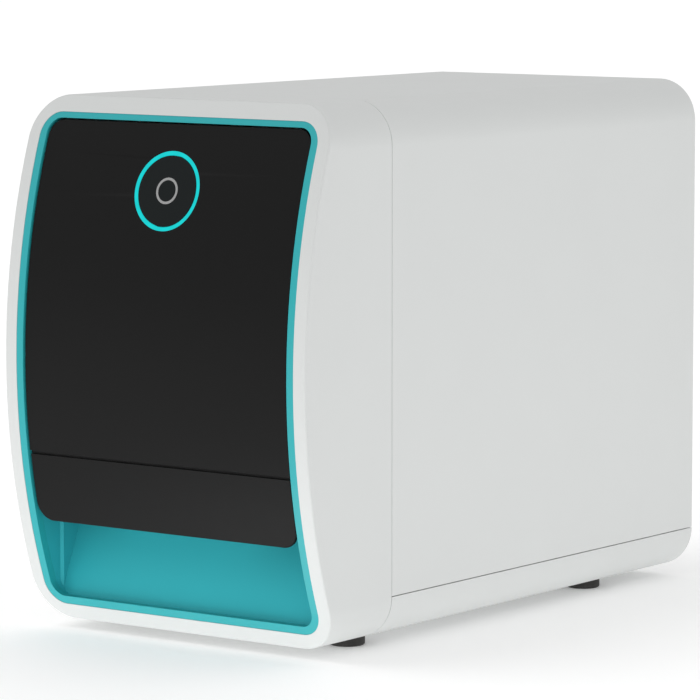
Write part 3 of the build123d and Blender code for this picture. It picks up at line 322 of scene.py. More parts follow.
@dataclass(frozen=True)
class Moulded:
    """Injection-moulded plastic with a fine spark-eroded grain."""

    name: str
    colour: tuple
    rough: float = 0.42
    grain: float = 2600.0
    depth: float = 0.00003
    strength: float = 0.25
    mottle: float = 0.03
    specular: float = 0.5

    def build(self) -> bpy.types.Material:
        """Builds the material."""
        graph = Graph(self.name)
        cloud = graph.noise(14.0, 2.0)
        fine = graph.noise(self.grain, 2.0)
        handled = graph.noise(60.0, 4.0)
        darker, lighter = scaled(self.colour, 1.0 - self.mottle), scaled(self.colour, 1.0 + self.mottle)
        base = graph.tint(cloud, darker, lighter)
        rough = self.rough + (handled - 0.5) * 0.10 + (fine - 0.5) * 0.08
        normal = graph.bump(fine, self.strength, self.depth)
        return graph.finish({
            "Base Color": base, "Roughness": rough, "Normal": normal, "Specular IOR Level": self.specular,
        })


@dataclass(frozen=True)
class Glossy:
    """Smooth moulded plastic with a clear top coat and faint orange peel."""

    name: str
    colour: tuple
    rough: float = 0.16
    coat: float = 0.5
    peel: float = 320.0
    peel_depth: float = 0.00002
    dust: float = 0.04
    specular: float = 0.5

    def build(self) -> bpy.types.Material:
        """Builds the material."""
        graph = Graph(self.name)
        peel = graph.noise(self.peel, 2.0)
        smear = graph.noise(22.0, 5.0, (1.0, 1.0, 0.35))
        speck = graph.noise(3800.0, 1.0).ramp(0.70, 0.82)
        base = graph.tint((speck * self.dust).clamped(), self.colour, tone(0.5))
        rough = self.rough + (smear - 0.5) * 0.10 + speck * 0.05
        normal = graph.bump(peel, 0.12, self.peel_depth)
        return graph.finish({
            "Base Color": base, "Roughness": rough, "Normal": normal, "Coat Weight": self.coat,
            "Coat Roughness": 0.08, "Specular IOR Level": self.specular,
        })


class Grain(Enum):
    """The direction of a brushed metal's grain, as a stretch of its pattern."""

    ALONG_X = (0.02, 1.0, 1.0)
    ALONG_Y = (1.0, 0.02, 1.0)
    ALONG_Z = (1.0, 1.0, 0.02)
    CAST = (1.0, 1.0, 1.0)


@dataclass(frozen=True)
class Metal:
    """Bare or anodised metal with a drawn, ground or turned grain."""

    name: str
    colour: tuple
    rough: float = 0.3
    grain: Grain = Grain.ALONG_Y
    scale: float = 1400.0
    metallic: float = 1.0
    stain: float = 0.12

    def build(self) -> bpy.types.Material:
        """Builds the material."""
        graph = Graph(self.name)
        lines = graph.noise(self.scale, 3.0, self.grain.value)
        cloud = graph.noise(24.0, 4.0)
        scratch = graph.noise(420.0, 6.0, (1.0, 0.15, 1.0)).ramp(0.66, 0.72)
        shade = (lines - 0.5) * 0.5 + cloud * 0.5
        base = graph.tint(shade.ramp(0.0, 0.6), scaled(self.colour, 1.0 - self.stain), self.colour)
        rough = self.rough + (lines - 0.5) * 0.18 + (cloud - 0.5) * 0.12 + scratch * 0.05
        normal = graph.bump(lines, 0.2, 0.00002)
        return graph.finish({
            "Base Color": base, "Roughness": rough, "Metallic": self.metallic, "Normal": normal,
        })


@dataclass(frozen=True)
class PowderCoat:
    """Sheet metal under powder coat or a spangled zinc coat."""

    name: str
    colour: tuple
    rough: float = 0.5
    bead: float = 1500.0
    spangle: float = 0.0
    metallic: float = 0.0

    def build(self) -> bpy.types.Material:
        """Builds the material."""
        graph = Graph(self.name)
        beads = graph.noise(self.bead, 2.0)
        cells = graph.node("ShaderNodeTexVoronoi", None, {"Vector": graph.place(), "Scale": 110.0})["Color"]
        spangles = graph.node("ShaderNodeSeparateColor", None, {"Color": cells})[0]
        cloud = graph.noise(18.0, 3.0)
        shade = spangles * self.spangle + cloud * (1.0 - self.spangle)
        base = graph.tint(shade, scaled(self.colour, 0.93), scaled(self.colour, 1.05))
        rough = self.rough + (spangles - 0.5) * 0.3 * self.spangle + (beads - 0.5) * 0.1
        normal = graph.bump(beads, 0.35, 0.00004)
        return graph.finish({
            "Base Color": base, "Roughness": rough, "Metallic": self.metallic, "Normal": normal,
        })


@dataclass(frozen=True)
class Rubber:
    """Soft matt rubber with faint bloom."""

    name: str
    colour: tuple
    rough: float = 0.72

    def build(self) -> bpy.types.Material:
        """Builds the material."""
        graph = Graph(self.name)
        bloom = graph.noise(90.0, 5.0)
        fine = graph.noise(2200.0, 2.0)
        base = graph.tint(bloom.ramp(0.35, 0.75), self.colour, scaled(self.colour, 1.5))
        rough = self.rough + (bloom - 0.5) * 0.2
        return graph.finish({
            "Base Color": base, "Roughness": rough, "Normal": graph.bump(fine, 0.4, 0.00005),
            "Specular IOR Level": 0.35,
        })


@dataclass(frozen=True)
class Glow:
    """Lit translucent plastic, a little brighter in places where its lamps sit."""

    name: str
    colour: tuple
    lamps: float = 12.0
    power: float = 1.0
    centre: tuple = (0.0, 0.0, 0.0)

    def build(self) -> bpy.types.Material:
        """Builds the material."""
        graph = Graph(self.name)
        across = graph.axis(0) - self.centre[0]
        up = graph.axis(2) - self.centre[2]
        angle = up.math("ARCTAN2", across)
        wave = (angle * self.lamps).math("SINE") * 0.5 + 0.5
        haze = graph.noise(500.0, 2.0)
        light = graph.tint(wave, scaled(self.colour, 0.93), self.colour)
        return graph.finish({
            "Base Color": graph.tint(haze, scaled(self.colour, 0.05), scaled(self.colour, 0.10)),
            "Roughness": 0.4 + haze * 0.1, "Specular IOR Level": 0.15,
            "Emission Color": light, "Emission Strength": self.power,
            "Normal": graph.bump(haze, 0.1, 0.00002),
        })


@dataclass(frozen=True)
class InkTank:
    """A pale translucent tank with ink in it up to a level."""

    name: str
    ink: tuple
    level: float

    def build(self) -> bpy.types.Material:
        """Builds the material."""
        graph = Graph(self.name)
        ripple = graph.noise(40.0, 2.0) * 0.0012
        filled = (graph.axis(2) + ripple).ramp(self.level + 0.001, self.level - 0.001)
        haze = graph.noise(30.0, 3.0)
        wall = graph.tint(haze, (0.62, 0.64, 0.66), (0.74, 0.76, 0.78))
        ink = graph.tint(haze, scaled(self.ink, 0.85), self.ink)
        base = graph.tint(filled, wall, ink)
        fine = graph.noise(1600.0, 2.0)
        return graph.finish({
            "Base Color": base, "Roughness": 0.3 + (haze - 0.5) * 0.15, "Coat Weight": 0.3,
            "Normal": graph.bump(fine, 0.15, 0.00002),
        })


@dataclass(frozen=True)
class CircuitBoard:
    """Green solder mask over copper tracks, with pale solder dots."""

    name: str

    def build(self) -> bpy.types.Material:
        """Builds the material."""
        graph = Graph(self.name)
        settings = {"feature": "F1", "distance": "MANHATTAN"}
        values = {"Vector": graph.place(), "Scale": 160.0}
        cell = graph.node("ShaderNodeTexVoronoi", settings, values)["Distance"]
        tracks = (cell * 7.0).math("FRACT").ramp(0.42, 0.55)
        dots = cell < 0.10
        mask = graph.tint(tracks, (0.008, 0.10, 0.045), (0.015, 0.19, 0.08))
        base = graph.tint(dots, mask, (0.62, 0.60, 0.55))
        return graph.finish({
            "Base Color": base, "Roughness": 0.35 + graph.noise(70.0) * 0.15, "Metallic": dots * 0.7,
            "Normal": graph.bump(tracks + dots, 0.3, 0.00005),
        })


@dataclass(frozen=True)
class PerforatedCase:
    """A zinc-coated case pressed with rows of round holes, each painted near-black as painted shade of the
    inside.
    """

    name: str
    colour: tuple
    pitch: float = 0.007

    def build(self) -> bpy.types.Material:
        """Builds the material."""
        graph = Graph(self.name)
        across = (graph.axis(0) / self.pitch).math("FRACT") - 0.5
        along = (graph.axis(1) / self.pitch).math("FRACT") - 0.5
        reach = (across * across + along * along).math("SQRT")
        hole = reach.ramp(0.30, 0.26)
        cells = graph.node("ShaderNodeTexVoronoi", None, {"Vector": graph.place(), "Scale": 120.0})["Color"]
        spangle = graph.node("ShaderNodeSeparateColor", None, {"Color": cells})[0]
        zinc = graph.tint(spangle, scaled(self.colour, 0.85), self.colour)
        # the holes get near-black tone(0.012): painted shade in place of the dark inside seen through them
        base = graph.tint(hole, zinc, tone(0.012))
        return graph.finish({
            "Base Color": base, "Roughness": 0.42 + spangle * 0.15, "Metallic": 1.0 - hole,
            "Normal": graph.bump(1.0 - hole, 0.6, 0.0006),
        })


# ============================ Making pieces ============================


def middle(node: str) -> Vector:
    """Gives the middle of a CAD node's box."""
    low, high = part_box(node)
    return (low + high) / 2.0


def show(name: str, shape: bmesh.types.BMesh, sharp: float = 32.0) -> bpy.types.Object:
    """Turns a finished bmesh into a scene object with smooth shading.

    Args:
        name: The piece's name.
        shape: The mesh, freed here.
        sharp: Edges that turn by more than this many degrees stay sharp.

    Returns:
        The object.
    """
    for face in shape.faces:
        face.smooth = True
    limit = math.radians(sharp)
    for edge in shape.edges:
        edge.smooth = len(edge.link_faces) == 2 and edge.calc_face_angle(0.0) < limit
    mesh = bpy.data.meshes.new(name)
    shape.to_mesh(mesh)
    shape.free()
    made = bpy.data.objects.new(name, mesh)
    bpy.context.scene.collection.objects.link(made)
    weights = made.modifiers.new("even_normals", "WEIGHTED_NORMAL")
    weights.keep_sharp = True
    weights.weight = 60
    return made


def settle(piece: bpy.types.Object, material: bpy.types.Material, like: str) -> bpy.types.Object:
    """Dresses a new piece and lets it ride with a CAD node's body.

    Args:
        piece: The piece.
        material: Its material.
        like: The CAD node whose body it rides with.

    Returns:
        The piece.
    """
    piece.data.materials.clear()
    piece.data.materials.append(material)
    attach(piece, BODY_OF[like])
    LOG.info("piece %s rides on %s", piece.name, BODY_OF[like])
    return piece


def refine(
    node: str,
    material: bpy.types.Material,
    radius: float = 0.3,
    segments: int = 2,
    angle: float = 40.0,
    wider: tuple[Callable[[Vector], bool], float] | None = None,
) -> bpy.types.Object:
    """Replaces a CAD node by a merged copy with small edge radii and smooth shading.

    Args:
        node: The CAD node.
        material: The copy's material.
        radius: The edge radius, in millimetres. 0 keeps the edges sharp.
        segments: Steps across each edge radius.
        angle: Edges that turn by more than this many degrees get the radius.
        wider: A test of an edge's middle, and the larger radius of the edges that pass it.

    Returns:
        The copy.
    """
    shape = bmesh.new()
    shape.from_mesh(NODES[node].data)
    bmesh.ops.remove_doubles(shape, verts=shape.verts, dist=MERGE)
    flat = math.radians(0.4)
    bmesh.ops.dissolve_limit(
        shape, angle_limit=flat, use_dissolve_boundaries=False, verts=shape.verts, edges=shape.edges
    )
    limit = math.radians(angle)
    edges = [edge for edge in shape.edges if len(edge.link_faces) == 2 and edge.calc_face_angle(0.0) > limit]
    test, large = wider or (lambda spot: False, 0.0)
    passed, rest = [], []
    for edge in edges:
        spot = (edge.verts[0].co + edge.verts[1].co) / 2.0
        (passed if test(spot) else rest).append(edge)
    for chosen, offset, steps in ((passed, large, segments + 2), (rest, radius, segments)):
        chosen = [edge for edge in chosen if edge.is_valid]
        if chosen and offset:
            bmesh.ops.bevel(
                shape, geom=chosen, offset=offset * MM, offset_type="OFFSET", segments=steps, profile=0.5,
                affect="EDGES", clamp_overlap=True, material=-1, miter_outer="ARC",
            )
    piece = show(f"{node}_fine", shape)
    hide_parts(node)
    return settle(piece, material, node)


def drum(
    shape: bmesh.types.BMesh, radius: float, low: float, high: float, at: Matrix, sides: int = 32
) -> list[bmesh.types.BMVert]:
    """Adds a closed cylinder to a mesh, standing on its local Z.

    Args:
        shape: The mesh.
        radius: Its radius.
        low: The lower end.
        high: The upper end.
        at: Its place.
        sides: Its sides.

    Returns:
        Its vertices.
    """
    lift = Matrix.Translation((0.0, 0.0, (low + high) / 2.0))
    made = bmesh.ops.create_cone(
        shape, cap_ends=True, segments=sides, radius1=radius, radius2=radius, depth=high - low,
        matrix=at @ lift,
    )
    return made["verts"]


def brick(shape: bmesh.types.BMesh, low: tuple, high: tuple, radius: float = 0.0) -> list[bmesh.types.BMVert]:
    """Adds a box with rounded edges to a mesh.

    Args:
        shape: The mesh.
        low: Its lowest corner.
        high: Its highest corner.
        radius: Its edge radius.

    Returns:
        Its vertices before rounding.
    """
    size = [b - a for a, b in zip(low, high)]
    place = Matrix.Translation([(a + b) / 2.0 for a, b in zip(low, high)]) @ Matrix.Diagonal((*size, 1.0))
    made = bmesh.ops.create_cube(shape, size=1.0, matrix=place)["verts"]
    if radius:
        edges = list({edge for vert in made for edge in vert.link_edges})
        bmesh.ops.bevel(
            shape, geom=edges, offset=radius, segments=2, profile=0.5, affect="EDGES", clamp_overlap=True,
            material=-1,
        )
    return made


def facing(where: Vector, axis: str) -> Matrix:
    """Gives a place whose local Z points along a named direction.

    Args:
        where: The place, in metres.
        axis: One of "+x", "-x", "+y", "-y", "+z" and "-z".

    Returns:
        The place's matrix.
    """
    aims = {"x": Vector((1, 0, 0)), "y": Vector((0, 1, 0)), "z": Vector((0, 0, 1))}
    aim = aims[axis[1]] * (-1.0 if axis[0] == "-" else 1.0)
    return Matrix.Translation(where) @ UP.rotation_difference(aim).to_matrix().to_4x4()


def socket_screw(shape: bmesh.types.BMesh, at: Matrix, radius: float, height: float) -> None:
    """Adds one cap screw head with a hexagon socket.

    Args:
        shape: The mesh.
        at: The place of its seat, with its head along local Z.
        radius: The head's radius.
        height: The head's height.
    """
    rounding, wall, taper, sink = radius * 0.12, radius * 0.45, radius * 0.01, height * 0.55
    verts = drum(shape, radius, 0.0, height, at, 24)
    normal = (at.to_3x3() @ UP).normalized()
    sides = {face for vert in verts for face in vert.link_faces}
    top = max(sides, key=lambda face: face.calc_center_median() @ normal)
    rim = bmesh.ops.bevel(
        shape, geom=list(top.edges), offset=rounding, segments=2, profile=0.5, affect="EDGES",
        clamp_overlap=True, material=-1,
    )
    caps = [face for face in rim["faces"] if face.is_valid]
    crown = max(
        {face for vert in rim["verts"] if vert.is_valid for face in vert.link_faces} | set(caps),
        key=lambda face: (round(face.calc_center_median() @ normal, 7), face.calc_area()),
    )
    bmesh.ops.inset_region(shape, faces=[crown], thickness=wall, depth=0.0)
    bmesh.ops.inset_region(shape, faces=[crown], thickness=taper, depth=-sink)


def islands_of(node: str) -> list[tuple[Vector, Vector]]:
    """Finds the boxes of a CAD node's separate solids.

    Args:
        node: The CAD node.

    Returns:
        Each solid's lowest and highest corners, in metres.
    """
    shape = bmesh.new()
    shape.from_mesh(NODES[node].data)
    bmesh.ops.remove_doubles(shape, verts=shape.verts, dist=MERGE)
    shape.verts.index_update()
    seen: set[int] = set()
    boxes = []
    for start in shape.verts:
        if start.index in seen:
            continue
        group = [start]
        seen.add(start.index)
        for vert in group:
            for edge in vert.link_edges:
                other = edge.other_vert(vert)
                if other.index not in seen:
                    seen.add(other.index)
                    group.append(other)
        low = Vector([min(vert.co[axis] for vert in group) for axis in range(3)])
        high = Vector([max(vert.co[axis] for vert in group) for axis in range(3)])
        boxes.append((low, high))
    shape.free()
    return boxes


# ============================ Case ============================


@dataclass
class Case:
    """The white shells, the teal trim and scoop, the dark frame and the feet."""

    white: Moulded = Moulded(
        "white_shell", (0.70, 0.715, 0.708), 0.46, grain=2400.0, strength=0.18, mottle=0.012
    )
    rear: PowderCoat = PowderCoat("pale_powder_coat", (0.62, 0.63, 0.63), 0.55)
    trim: Glossy = Glossy("teal_trim", (0.026, 0.420, 0.450), 0.34, coat=0.15, dust=0.0, specular=0.3)
    scoop: Moulded = Moulded(
        "teal_scoop", (0.038, 0.470, 0.530), 0.45, grain=2200.0, strength=0.15, mottle=0.02, specular=0.15
    )
    frame: Moulded = Moulded("black_carrier", tone(0.012), 0.6)
    rubber: Rubber = Rubber("foot_rubber", tone(0.030, 0.04))
    steel: Metal = Metal("zinc_screws", tone(0.55), 0.35, Grain.CAST)
    shell_radius: float = 0.35

    def build(self) -> None:
        """Builds every piece of the case."""
        white = self.white.build()
        for node in ("front_bezel", "main_cover", "base_pan"):
            refine(node, white, self.shell_radius, 2, 50.0)
        refine("rear_panel", self.rear.build(), 0.2)
        refine("trim_ring", self.trim.build(), 0.8, 4)
        refine("finger_scoop", self.scoop.build(), 0.4, 3)
        refine("front_frame", self.frame.build(), 0.2)
        refine("feet", self.rubber.build(), 0.4)
        self.screws(self.steel.build())

    def screws(self, steel: bpy.types.Material) -> None:
        """Replaces the plain screw heads by socket heads.

        Args:
            steel: The screws' material.
        """
        shape = bmesh.new()
        for low, high in islands_of("case_screws"):
            size = high - low
            centre = (low + high) / 2.0
            if size.y < size.z:
                at = facing(Vector((centre.x, low.y, centre.z)), "+y")
                socket_screw(shape, at, size.x / 2.0, size.y)
            else:
                at = facing(Vector((centre.x, centre.y, high.z)), "-z")
                socket_screw(shape, at, size.x / 2.0, size.z)
        piece = show("case_screws_fine", shape)
        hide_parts("case_screws")
        settle(piece, steel, "case_screws")


# ============================ Door, drawer front and button ============================


@dataclass
class Fronts:
    """The black door and drawer front, and the lit power button."""

    black: Moulded = Moulded(
        "black_front", tone(0.0072), 0.36, grain=3200.0, strength=0.10, mottle=0.015, specular=0.12
    )
    button: Moulded = Moulded(
        "black_button", (0.0082, 0.0108, 0.0112), 0.34, grain=3200.0, strength=0.10, specular=0.12
    )
    housing: Moulded = Moulded("housing_black", tone(0.012), 0.6)
    mark: Moulded = Moulded("pale_mark", tone(0.34), 0.4, strength=0.1)
    glow: tuple = (0.004, 0.62, 0.63)
    edge: float = 0.35
    rim_width: float = 0.016
    rim_radius: float = 1.3

    def build(self) -> None:
        """Builds the fronts."""
        black = self.black.build()
        centre = middle("light_ring")
        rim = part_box("door_panel")[1].x - self.rim_width
        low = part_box("drawer_front")[0].z + self.rim_width
        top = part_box("door_panel")[1].z - self.rim_width

        def outer(spot: Vector) -> bool:
            """Tests whether a place is on the fronts' outer rim."""
            return abs(spot.x) > rim or spot.z > top or spot.z < low

        refine("door_panel", black, self.edge, 3, wider=(outer, self.rim_radius))
        refine("drawer_front", black, self.edge, 3, wider=(outer, self.rim_radius))
        refine("power_button", self.button.build(), self.edge, 3)
        refine("button_housing", self.housing.build(), 0.2)
        refine("button_mark", self.mark.build(), 0.08, 1)
        refine("light_ring", Glow("cyan_glow", self.glow, centre=tuple(centre)).build(), 0.25)
        refine("hinge_pins", Metal("pin_steel", tone(0.6), 0.25, Grain.ALONG_X).build(), 0.3)


# ============================ Mechanism finishes ============================


@dataclass(frozen=True)
class MotorCase:
    """Black laminations between two cast end caps, striped along the motor's axis."""

    name: str
    axis: int
    low: float
    high: float
    cap: float = 0.009
    sheet: float = 0.0006

    def build(self) -> bpy.types.Material:
        """Builds the material."""
        graph = Graph(self.name)
        along = graph.axis(self.axis)
        core = (along > self.low + self.cap) * (along < self.high - self.cap)
        sheets = (along / self.sheet).math("FRACT").ramp(0.15, 0.5)
        cloud = graph.noise(90.0, 4.0)
        black = graph.tint(sheets, tone(0.010), tone(0.028))
        cast = graph.tint(cloud, tone(0.40), tone(0.56))
        return graph.finish({
            "Base Color": graph.tint(core, cast, black), "Roughness": 0.5 + cloud * 0.15 - core * 0.12,
            "Metallic": (1.0 - core) * 0.9, "Normal": graph.bump(sheets * core + cloud * 0.4, 0.3, 0.00012),
        })


@dataclass(frozen=True)
class RailSteel:
    """Ground steel rail with cap screws painted along its middle; the gap in each counterbore and each hex
    socket are painted near-black as painted shade.
    """

    name: str
    run: int
    cross: int
    centre: float
    spread: float = 0.0
    pitch: float = 0.03
    grain: Grain = Grain.ALONG_Y
    bore: float = 0.0030
    head: float = 0.0025
    socket: float = 0.0013
    soft: float = 0.0001

    def build(self) -> bpy.types.Material:
        """Builds the material."""
        graph = Graph(self.name)
        along = ((graph.axis(self.run) / self.pitch).math("FRACT") - 0.5) * self.pitch
        across = (graph.axis(self.cross) - self.centre).math("ABSOLUTE") - self.spread
        reach = (along * along + across * across).math("SQRT")
        # bore and socket mark the counterbore gap and the hex socket, where painted shade goes
        bore, head, socket = (
            reach.ramp(radius + self.soft, radius - self.soft) for radius in (self.bore, self.head, self.socket)
        )
        lines = graph.noise(1800.0, 3.0, self.grain.value)
        base = graph.tint(lines, tone(0.50), tone(0.66))
        # tone(0.02) in the counterbore gap and tone(0.01) in the socket are painted shade; tone(0.30) is the
        # screw head's own darker steel
        for mask, colour in ((bore, tone(0.02)), (head, tone(0.30)), (socket, tone(0.01))):
            base = graph.tint(mask, base, colour)
        ground = graph.bump(lines, 0.2, 0.00002)
        return graph.finish({
            "Base Color": base,
            "Roughness": 0.22 + lines * 0.12 + bore * 0.1,
            "Metallic": 1.0 - bore * 0.4,
            "Normal": graph.bump(head * 0.7 - bore - socket * 0.4, 0.5, 0.0006, ground),
        })


@dataclass(frozen=True)
class CappedSteel:
    """Machined steel blocks at an even pitch, each with a dark moulded cap at both ends."""

    name: str
    axis: int
    centre: float
    pitch: float
    half: float
    cap: float = 0.0035
    soft: float = 0.0001

    def build(self) -> bpy.types.Material:
        """Builds the material."""
        graph = Graph(self.name)
        along = (graph.axis(self.axis) - (self.centre - self.pitch / 2.0)) / self.pitch
        reach = (along.math("FRACT") - 0.5).math("ABSOLUTE") * self.pitch
        edge = self.half - self.cap
        caps = reach.ramp(edge - self.soft, edge + self.soft)
        lines = graph.noise(900.0, 3.0)
        steel = graph.tint(lines, tone(0.36), tone(0.50))
        joint = reach.ramp(edge - 4.0 * self.soft, edge)
        return graph.finish({
            "Base Color": graph.tint(caps, steel, (0.012, 0.05, 0.030)),
            "Roughness": 0.3 + lines * 0.15 + caps * 0.1,
            "Metallic": 1.0 - caps,
            "Normal": graph.bump(lines * 0.2 - joint * (1.0 - caps), 0.3, 0.0002),
        })


@dataclass(frozen=True)
class RuledPlate:
    """Black anodised plate with a fine pale grid, one centimetre apart."""

    name: str
    colour: tuple
    origin: tuple
    pitch: float = 0.01

    def build(self) -> bpy.types.Material:
        """Builds the material."""
        graph = Graph(self.name)
        cloud = graph.noise(30.0, 4.0)
        fine = graph.noise(1500.0, 3.0, Grain.ALONG_Y.value)
        lines = []
        for axis in (0, 1):
            along = ((graph.axis(axis) - self.origin[axis]) / self.pitch).math("FRACT")
            lines.append((along - 0.5).math("ABSOLUTE").ramp(0.480, 0.490))
        grid = lines[0].math("MAXIMUM", lines[1])
        plain = graph.tint(cloud, scaled(self.colour, 0.85), scaled(self.colour, 1.15))
        return graph.finish({
            "Base Color": graph.tint(grid * 0.55, plain, tone(0.35)), "Roughness": 0.42 + (fine - 0.5) * 0.15,
            "Metallic": 0.8 - grid * 0.4, "Normal": graph.bump(fine * 0.3 - grid, 0.25, 0.00005),
        })


# ============================ Mechanism shapes ============================

FLANGE = 0.0009
FLANGE_PROUD = 0.0013
MOTOR_SCREW_OFF = 0.0155
MOTOR_SCREW_HEAD = (0.0025, 0.0012)


def lathe(shape: bmesh.types.BMesh, outline: list[tuple[float, float]], at: Matrix, steps: int = 40) -> None:
    """Adds a closed turned ring to a mesh, round its local Z.

    Args:
        shape: The mesh.
        outline: The section's corners, as radius and height.
        at: Its place.
        steps: Steps round the ring.
    """
    verts = [shape.verts.new(at @ Vector((radius, 0.0, height))) for radius, height in outline]
    edges = [shape.edges.new((vert, verts[index - 1])) for index, vert in enumerate(verts)]
    aim = at.to_3x3() @ UP
    bmesh.ops.spin(
        shape, geom=verts + edges, cent=at.translation, axis=aim, dvec=(0, 0, 0), angle=math.tau, steps=steps,
        use_merge=True,
    )
    bmesh.ops.remove_doubles(shape, verts=shape.verts, dist=1e-7)
    bmesh.ops.recalc_face_normals(shape, faces=shape.faces)


def washer(shape: bmesh.types.BMesh, bore: float, radius: float, low: float, high: float, at: Matrix) -> None:
    """Adds a flat ring to a mesh, round its local Z.

    Args:
        shape: The mesh.
        bore: Its inner radius.
        radius: Its outer radius.
        low: The lower end.
        high: The upper end.
        at: Its place.
    """
    lathe(shape, [(bore, low), (radius, low), (radius, high), (bore, high)], at)


def toothed(
    shape: bmesh.types.BMesh, radius: float, depth: float, count: int, low: float, high: float, at: Matrix
) -> None:
    """Adds a closed drum with straight teeth to a mesh, standing on its local Z.

    Args:
        shape: The mesh.
        radius: The radius over the teeth.
        depth: The depth of the grooves.
        count: The number of teeth.
        low: The lower end.
        high: The upper end.
        at: Its place.
    """
    back = at.inverted()
    shrink = (radius - depth) / radius
    for vert in drum(shape, radius, low, high, at, count * 4):
        local = back @ vert.co
        turn = math.atan2(local.y, local.x) / math.tau * count + 0.125
        if turn % 1.0 > 0.5:
            vert.co = at @ Vector((local.x * shrink, local.y * shrink, local.z))


def thread(
    shape: bmesh.types.BMesh,
    radius: float,
    depth: float,
    lead: float,
    starts: int,
    low: float,
    high: float,
    at: Matrix,
) -> None:
    """Adds a rolled multi-start thread to a mesh, winding up its local Z.

    Args:
        shape: The mesh.
        radius: The radius over the crests.
        depth: The depth of the thread.
        lead: The rise of one turn.
        starts: The number of threads side by side.
        low: The lower end.
        high: The upper end.
        at: Its place.
    """
    pitch = lead / starts
    root = radius - depth
    rise, crest, fall = 0.30 * pitch, 0.45 * pitch, 0.85 * pitch
    outline = []
    for start in range(starts):
        foot = low + start * pitch
        outline += [(root, foot), (root, foot + rise), (radius, foot + crest), (radius, foot + fall)]
    outline.append((root, low + lead))
    verts = [shape.verts.new(at @ Vector((reach, 0.0, height))) for reach, height in outline]
    edges = [shape.edges.new(pair) for pair in zip(verts, verts[1:])]
    per_turn = 20
    steps = int(((high - low) / lead - 1.0) * per_turn)
    bmesh.ops.spin(
        shape, geom=verts + edges, cent=at.translation, axis=(0, 0, 1), dvec=(0, 0, lead / per_turn),
        angle=math.tau * steps / per_turn, steps=steps, use_merge=False,
    )
    bmesh.ops.remove_doubles(shape, verts=shape.verts, dist=1e-6)
    bmesh.ops.holes_fill(shape, edges=[edge for edge in shape.edges if len(edge.link_faces) == 1], sides=0)
    bmesh.ops.recalc_face_normals(shape, faces=shape.faces)


def belt_ribs(node: str, run: int, cross: int, thickness: float, material: bpy.types.Material) -> None:
    """Adds fine teeth inside the two straight runs of a belt.

    Args:
        node: The belt's CAD node.
        run: The axis that the runs follow.
        cross: The axis between the two runs.
        thickness: The belt's thickness.
        material: The teeth's material.
    """
    low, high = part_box(node)
    shape = bmesh.new()
    tooth, gap, rise, ends = 0.0011, 0.0009, 0.00025, 0.0105
    place = low[run] + ends
    while place < high[run] - ends:
        for face, way in ((low[cross] + thickness, 1.0), (high[cross] - thickness, -1.0)):
            start, stop = Vector(low), Vector(high)
            start[run], stop[run] = place, place + tooth
            start[cross], stop[cross] = sorted((face - way * rise * 0.2, face + way * rise))
            brick(shape, start, stop)
        place += tooth + gap
    settle(show(f"{node}_teeth", shape), material, node)


def pulley(
    node: str, axis: str, width: float, radius: float, teeth: int, material: bpy.types.Material
) -> None:
    """Replaces a driving pulley by a toothed one with two flanges and its shaft.

    Args:
        node: The pulley's CAD node.
        axis: The direction from the pulley along its shaft.
        width: The width between the outer faces of its flanges.
        radius: The radius over its teeth.
        teeth: The number of teeth.
        material: Its material.
    """
    low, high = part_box(node)
    centre = (low + high) / 2.0
    index = "xyz".index(axis[1])
    length = high[index] - low[index]
    centre[index] = low[index] if axis[0] == "+" else high[index]
    at = facing(centre, axis)
    shaft, hub, groove = 0.0025, 0.005, 0.0007
    shape = bmesh.new()
    toothed(shape, radius, groove, teeth, FLANGE / 2.0, width - FLANGE / 2.0, at)
    for start in (0.0, width - FLANGE):
        washer(shape, shaft, radius + FLANGE_PROUD, start, start + FLANGE, at)
    drum(shape, shaft, 0.0, length, at, 28)
    washer(shape, shaft, hub, 0.0, 0.0002, at)
    piece = show(f"{node}_fine", shape)
    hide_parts(node)
    settle(piece, material, node)


def flanges(node: str, axis: str, width: float, radius: float, material: bpy.types.Material) -> None:
    """Adds two thin flanges to an idler.

    Args:
        node: The idler's CAD node.
        axis: The direction of its pin.
        width: The idler's width.
        radius: Its radius.
        material: The flanges' material.
    """
    at = facing(middle(node), axis)
    bore = 0.0027
    shape = bmesh.new()
    for start in (-width / 2.0, width / 2.0 - FLANGE):
        washer(shape, bore, radius + FLANGE_PROUD, start, start + FLANGE, at)
    settle(show(f"{node}_flanges", shape), material, node)


def screws_at(
    name: str, like: str, places: list[Matrix], head: tuple[float, float], finish: bpy.types.Material
) -> None:
    """Adds a group of cap screws as one piece.

    Args:
        name: The piece's name.
        like: The CAD node that the screws ride with.
        places: Their seats.
        head: Their heads' radius and height.
        finish: Their material.
    """
    shape = bmesh.new()
    for at in places:
        socket_screw(shape, at, *head)
    settle(show(name, shape), finish, like)


def motor_screws(node: str, axis: str, finish: bpy.types.Material) -> None:
    """Adds the four cap screws on a stepper motor's outer face.

    Args:
        node: The motor's CAD node.
        axis: The direction that the face looks in.
        finish: The screws' material.
    """
    low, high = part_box(node)
    run = "xyz".index(axis[1])
    first, second = (part for part in range(3) if part != run)
    centre = (low + high) / 2.0
    centre[run] = low[run] if axis[0] == "-" else high[run]
    places = []
    for across in (-MOTOR_SCREW_OFF, MOTOR_SCREW_OFF):
        for along in (-MOTOR_SCREW_OFF, MOTOR_SCREW_OFF):
            spot = centre.copy()
            spot[first] += across
            spot[second] += along
            places.append(facing(spot, axis))
    screws_at(f"{node}_screws", node, places, MOTOR_SCREW_HEAD, finish)


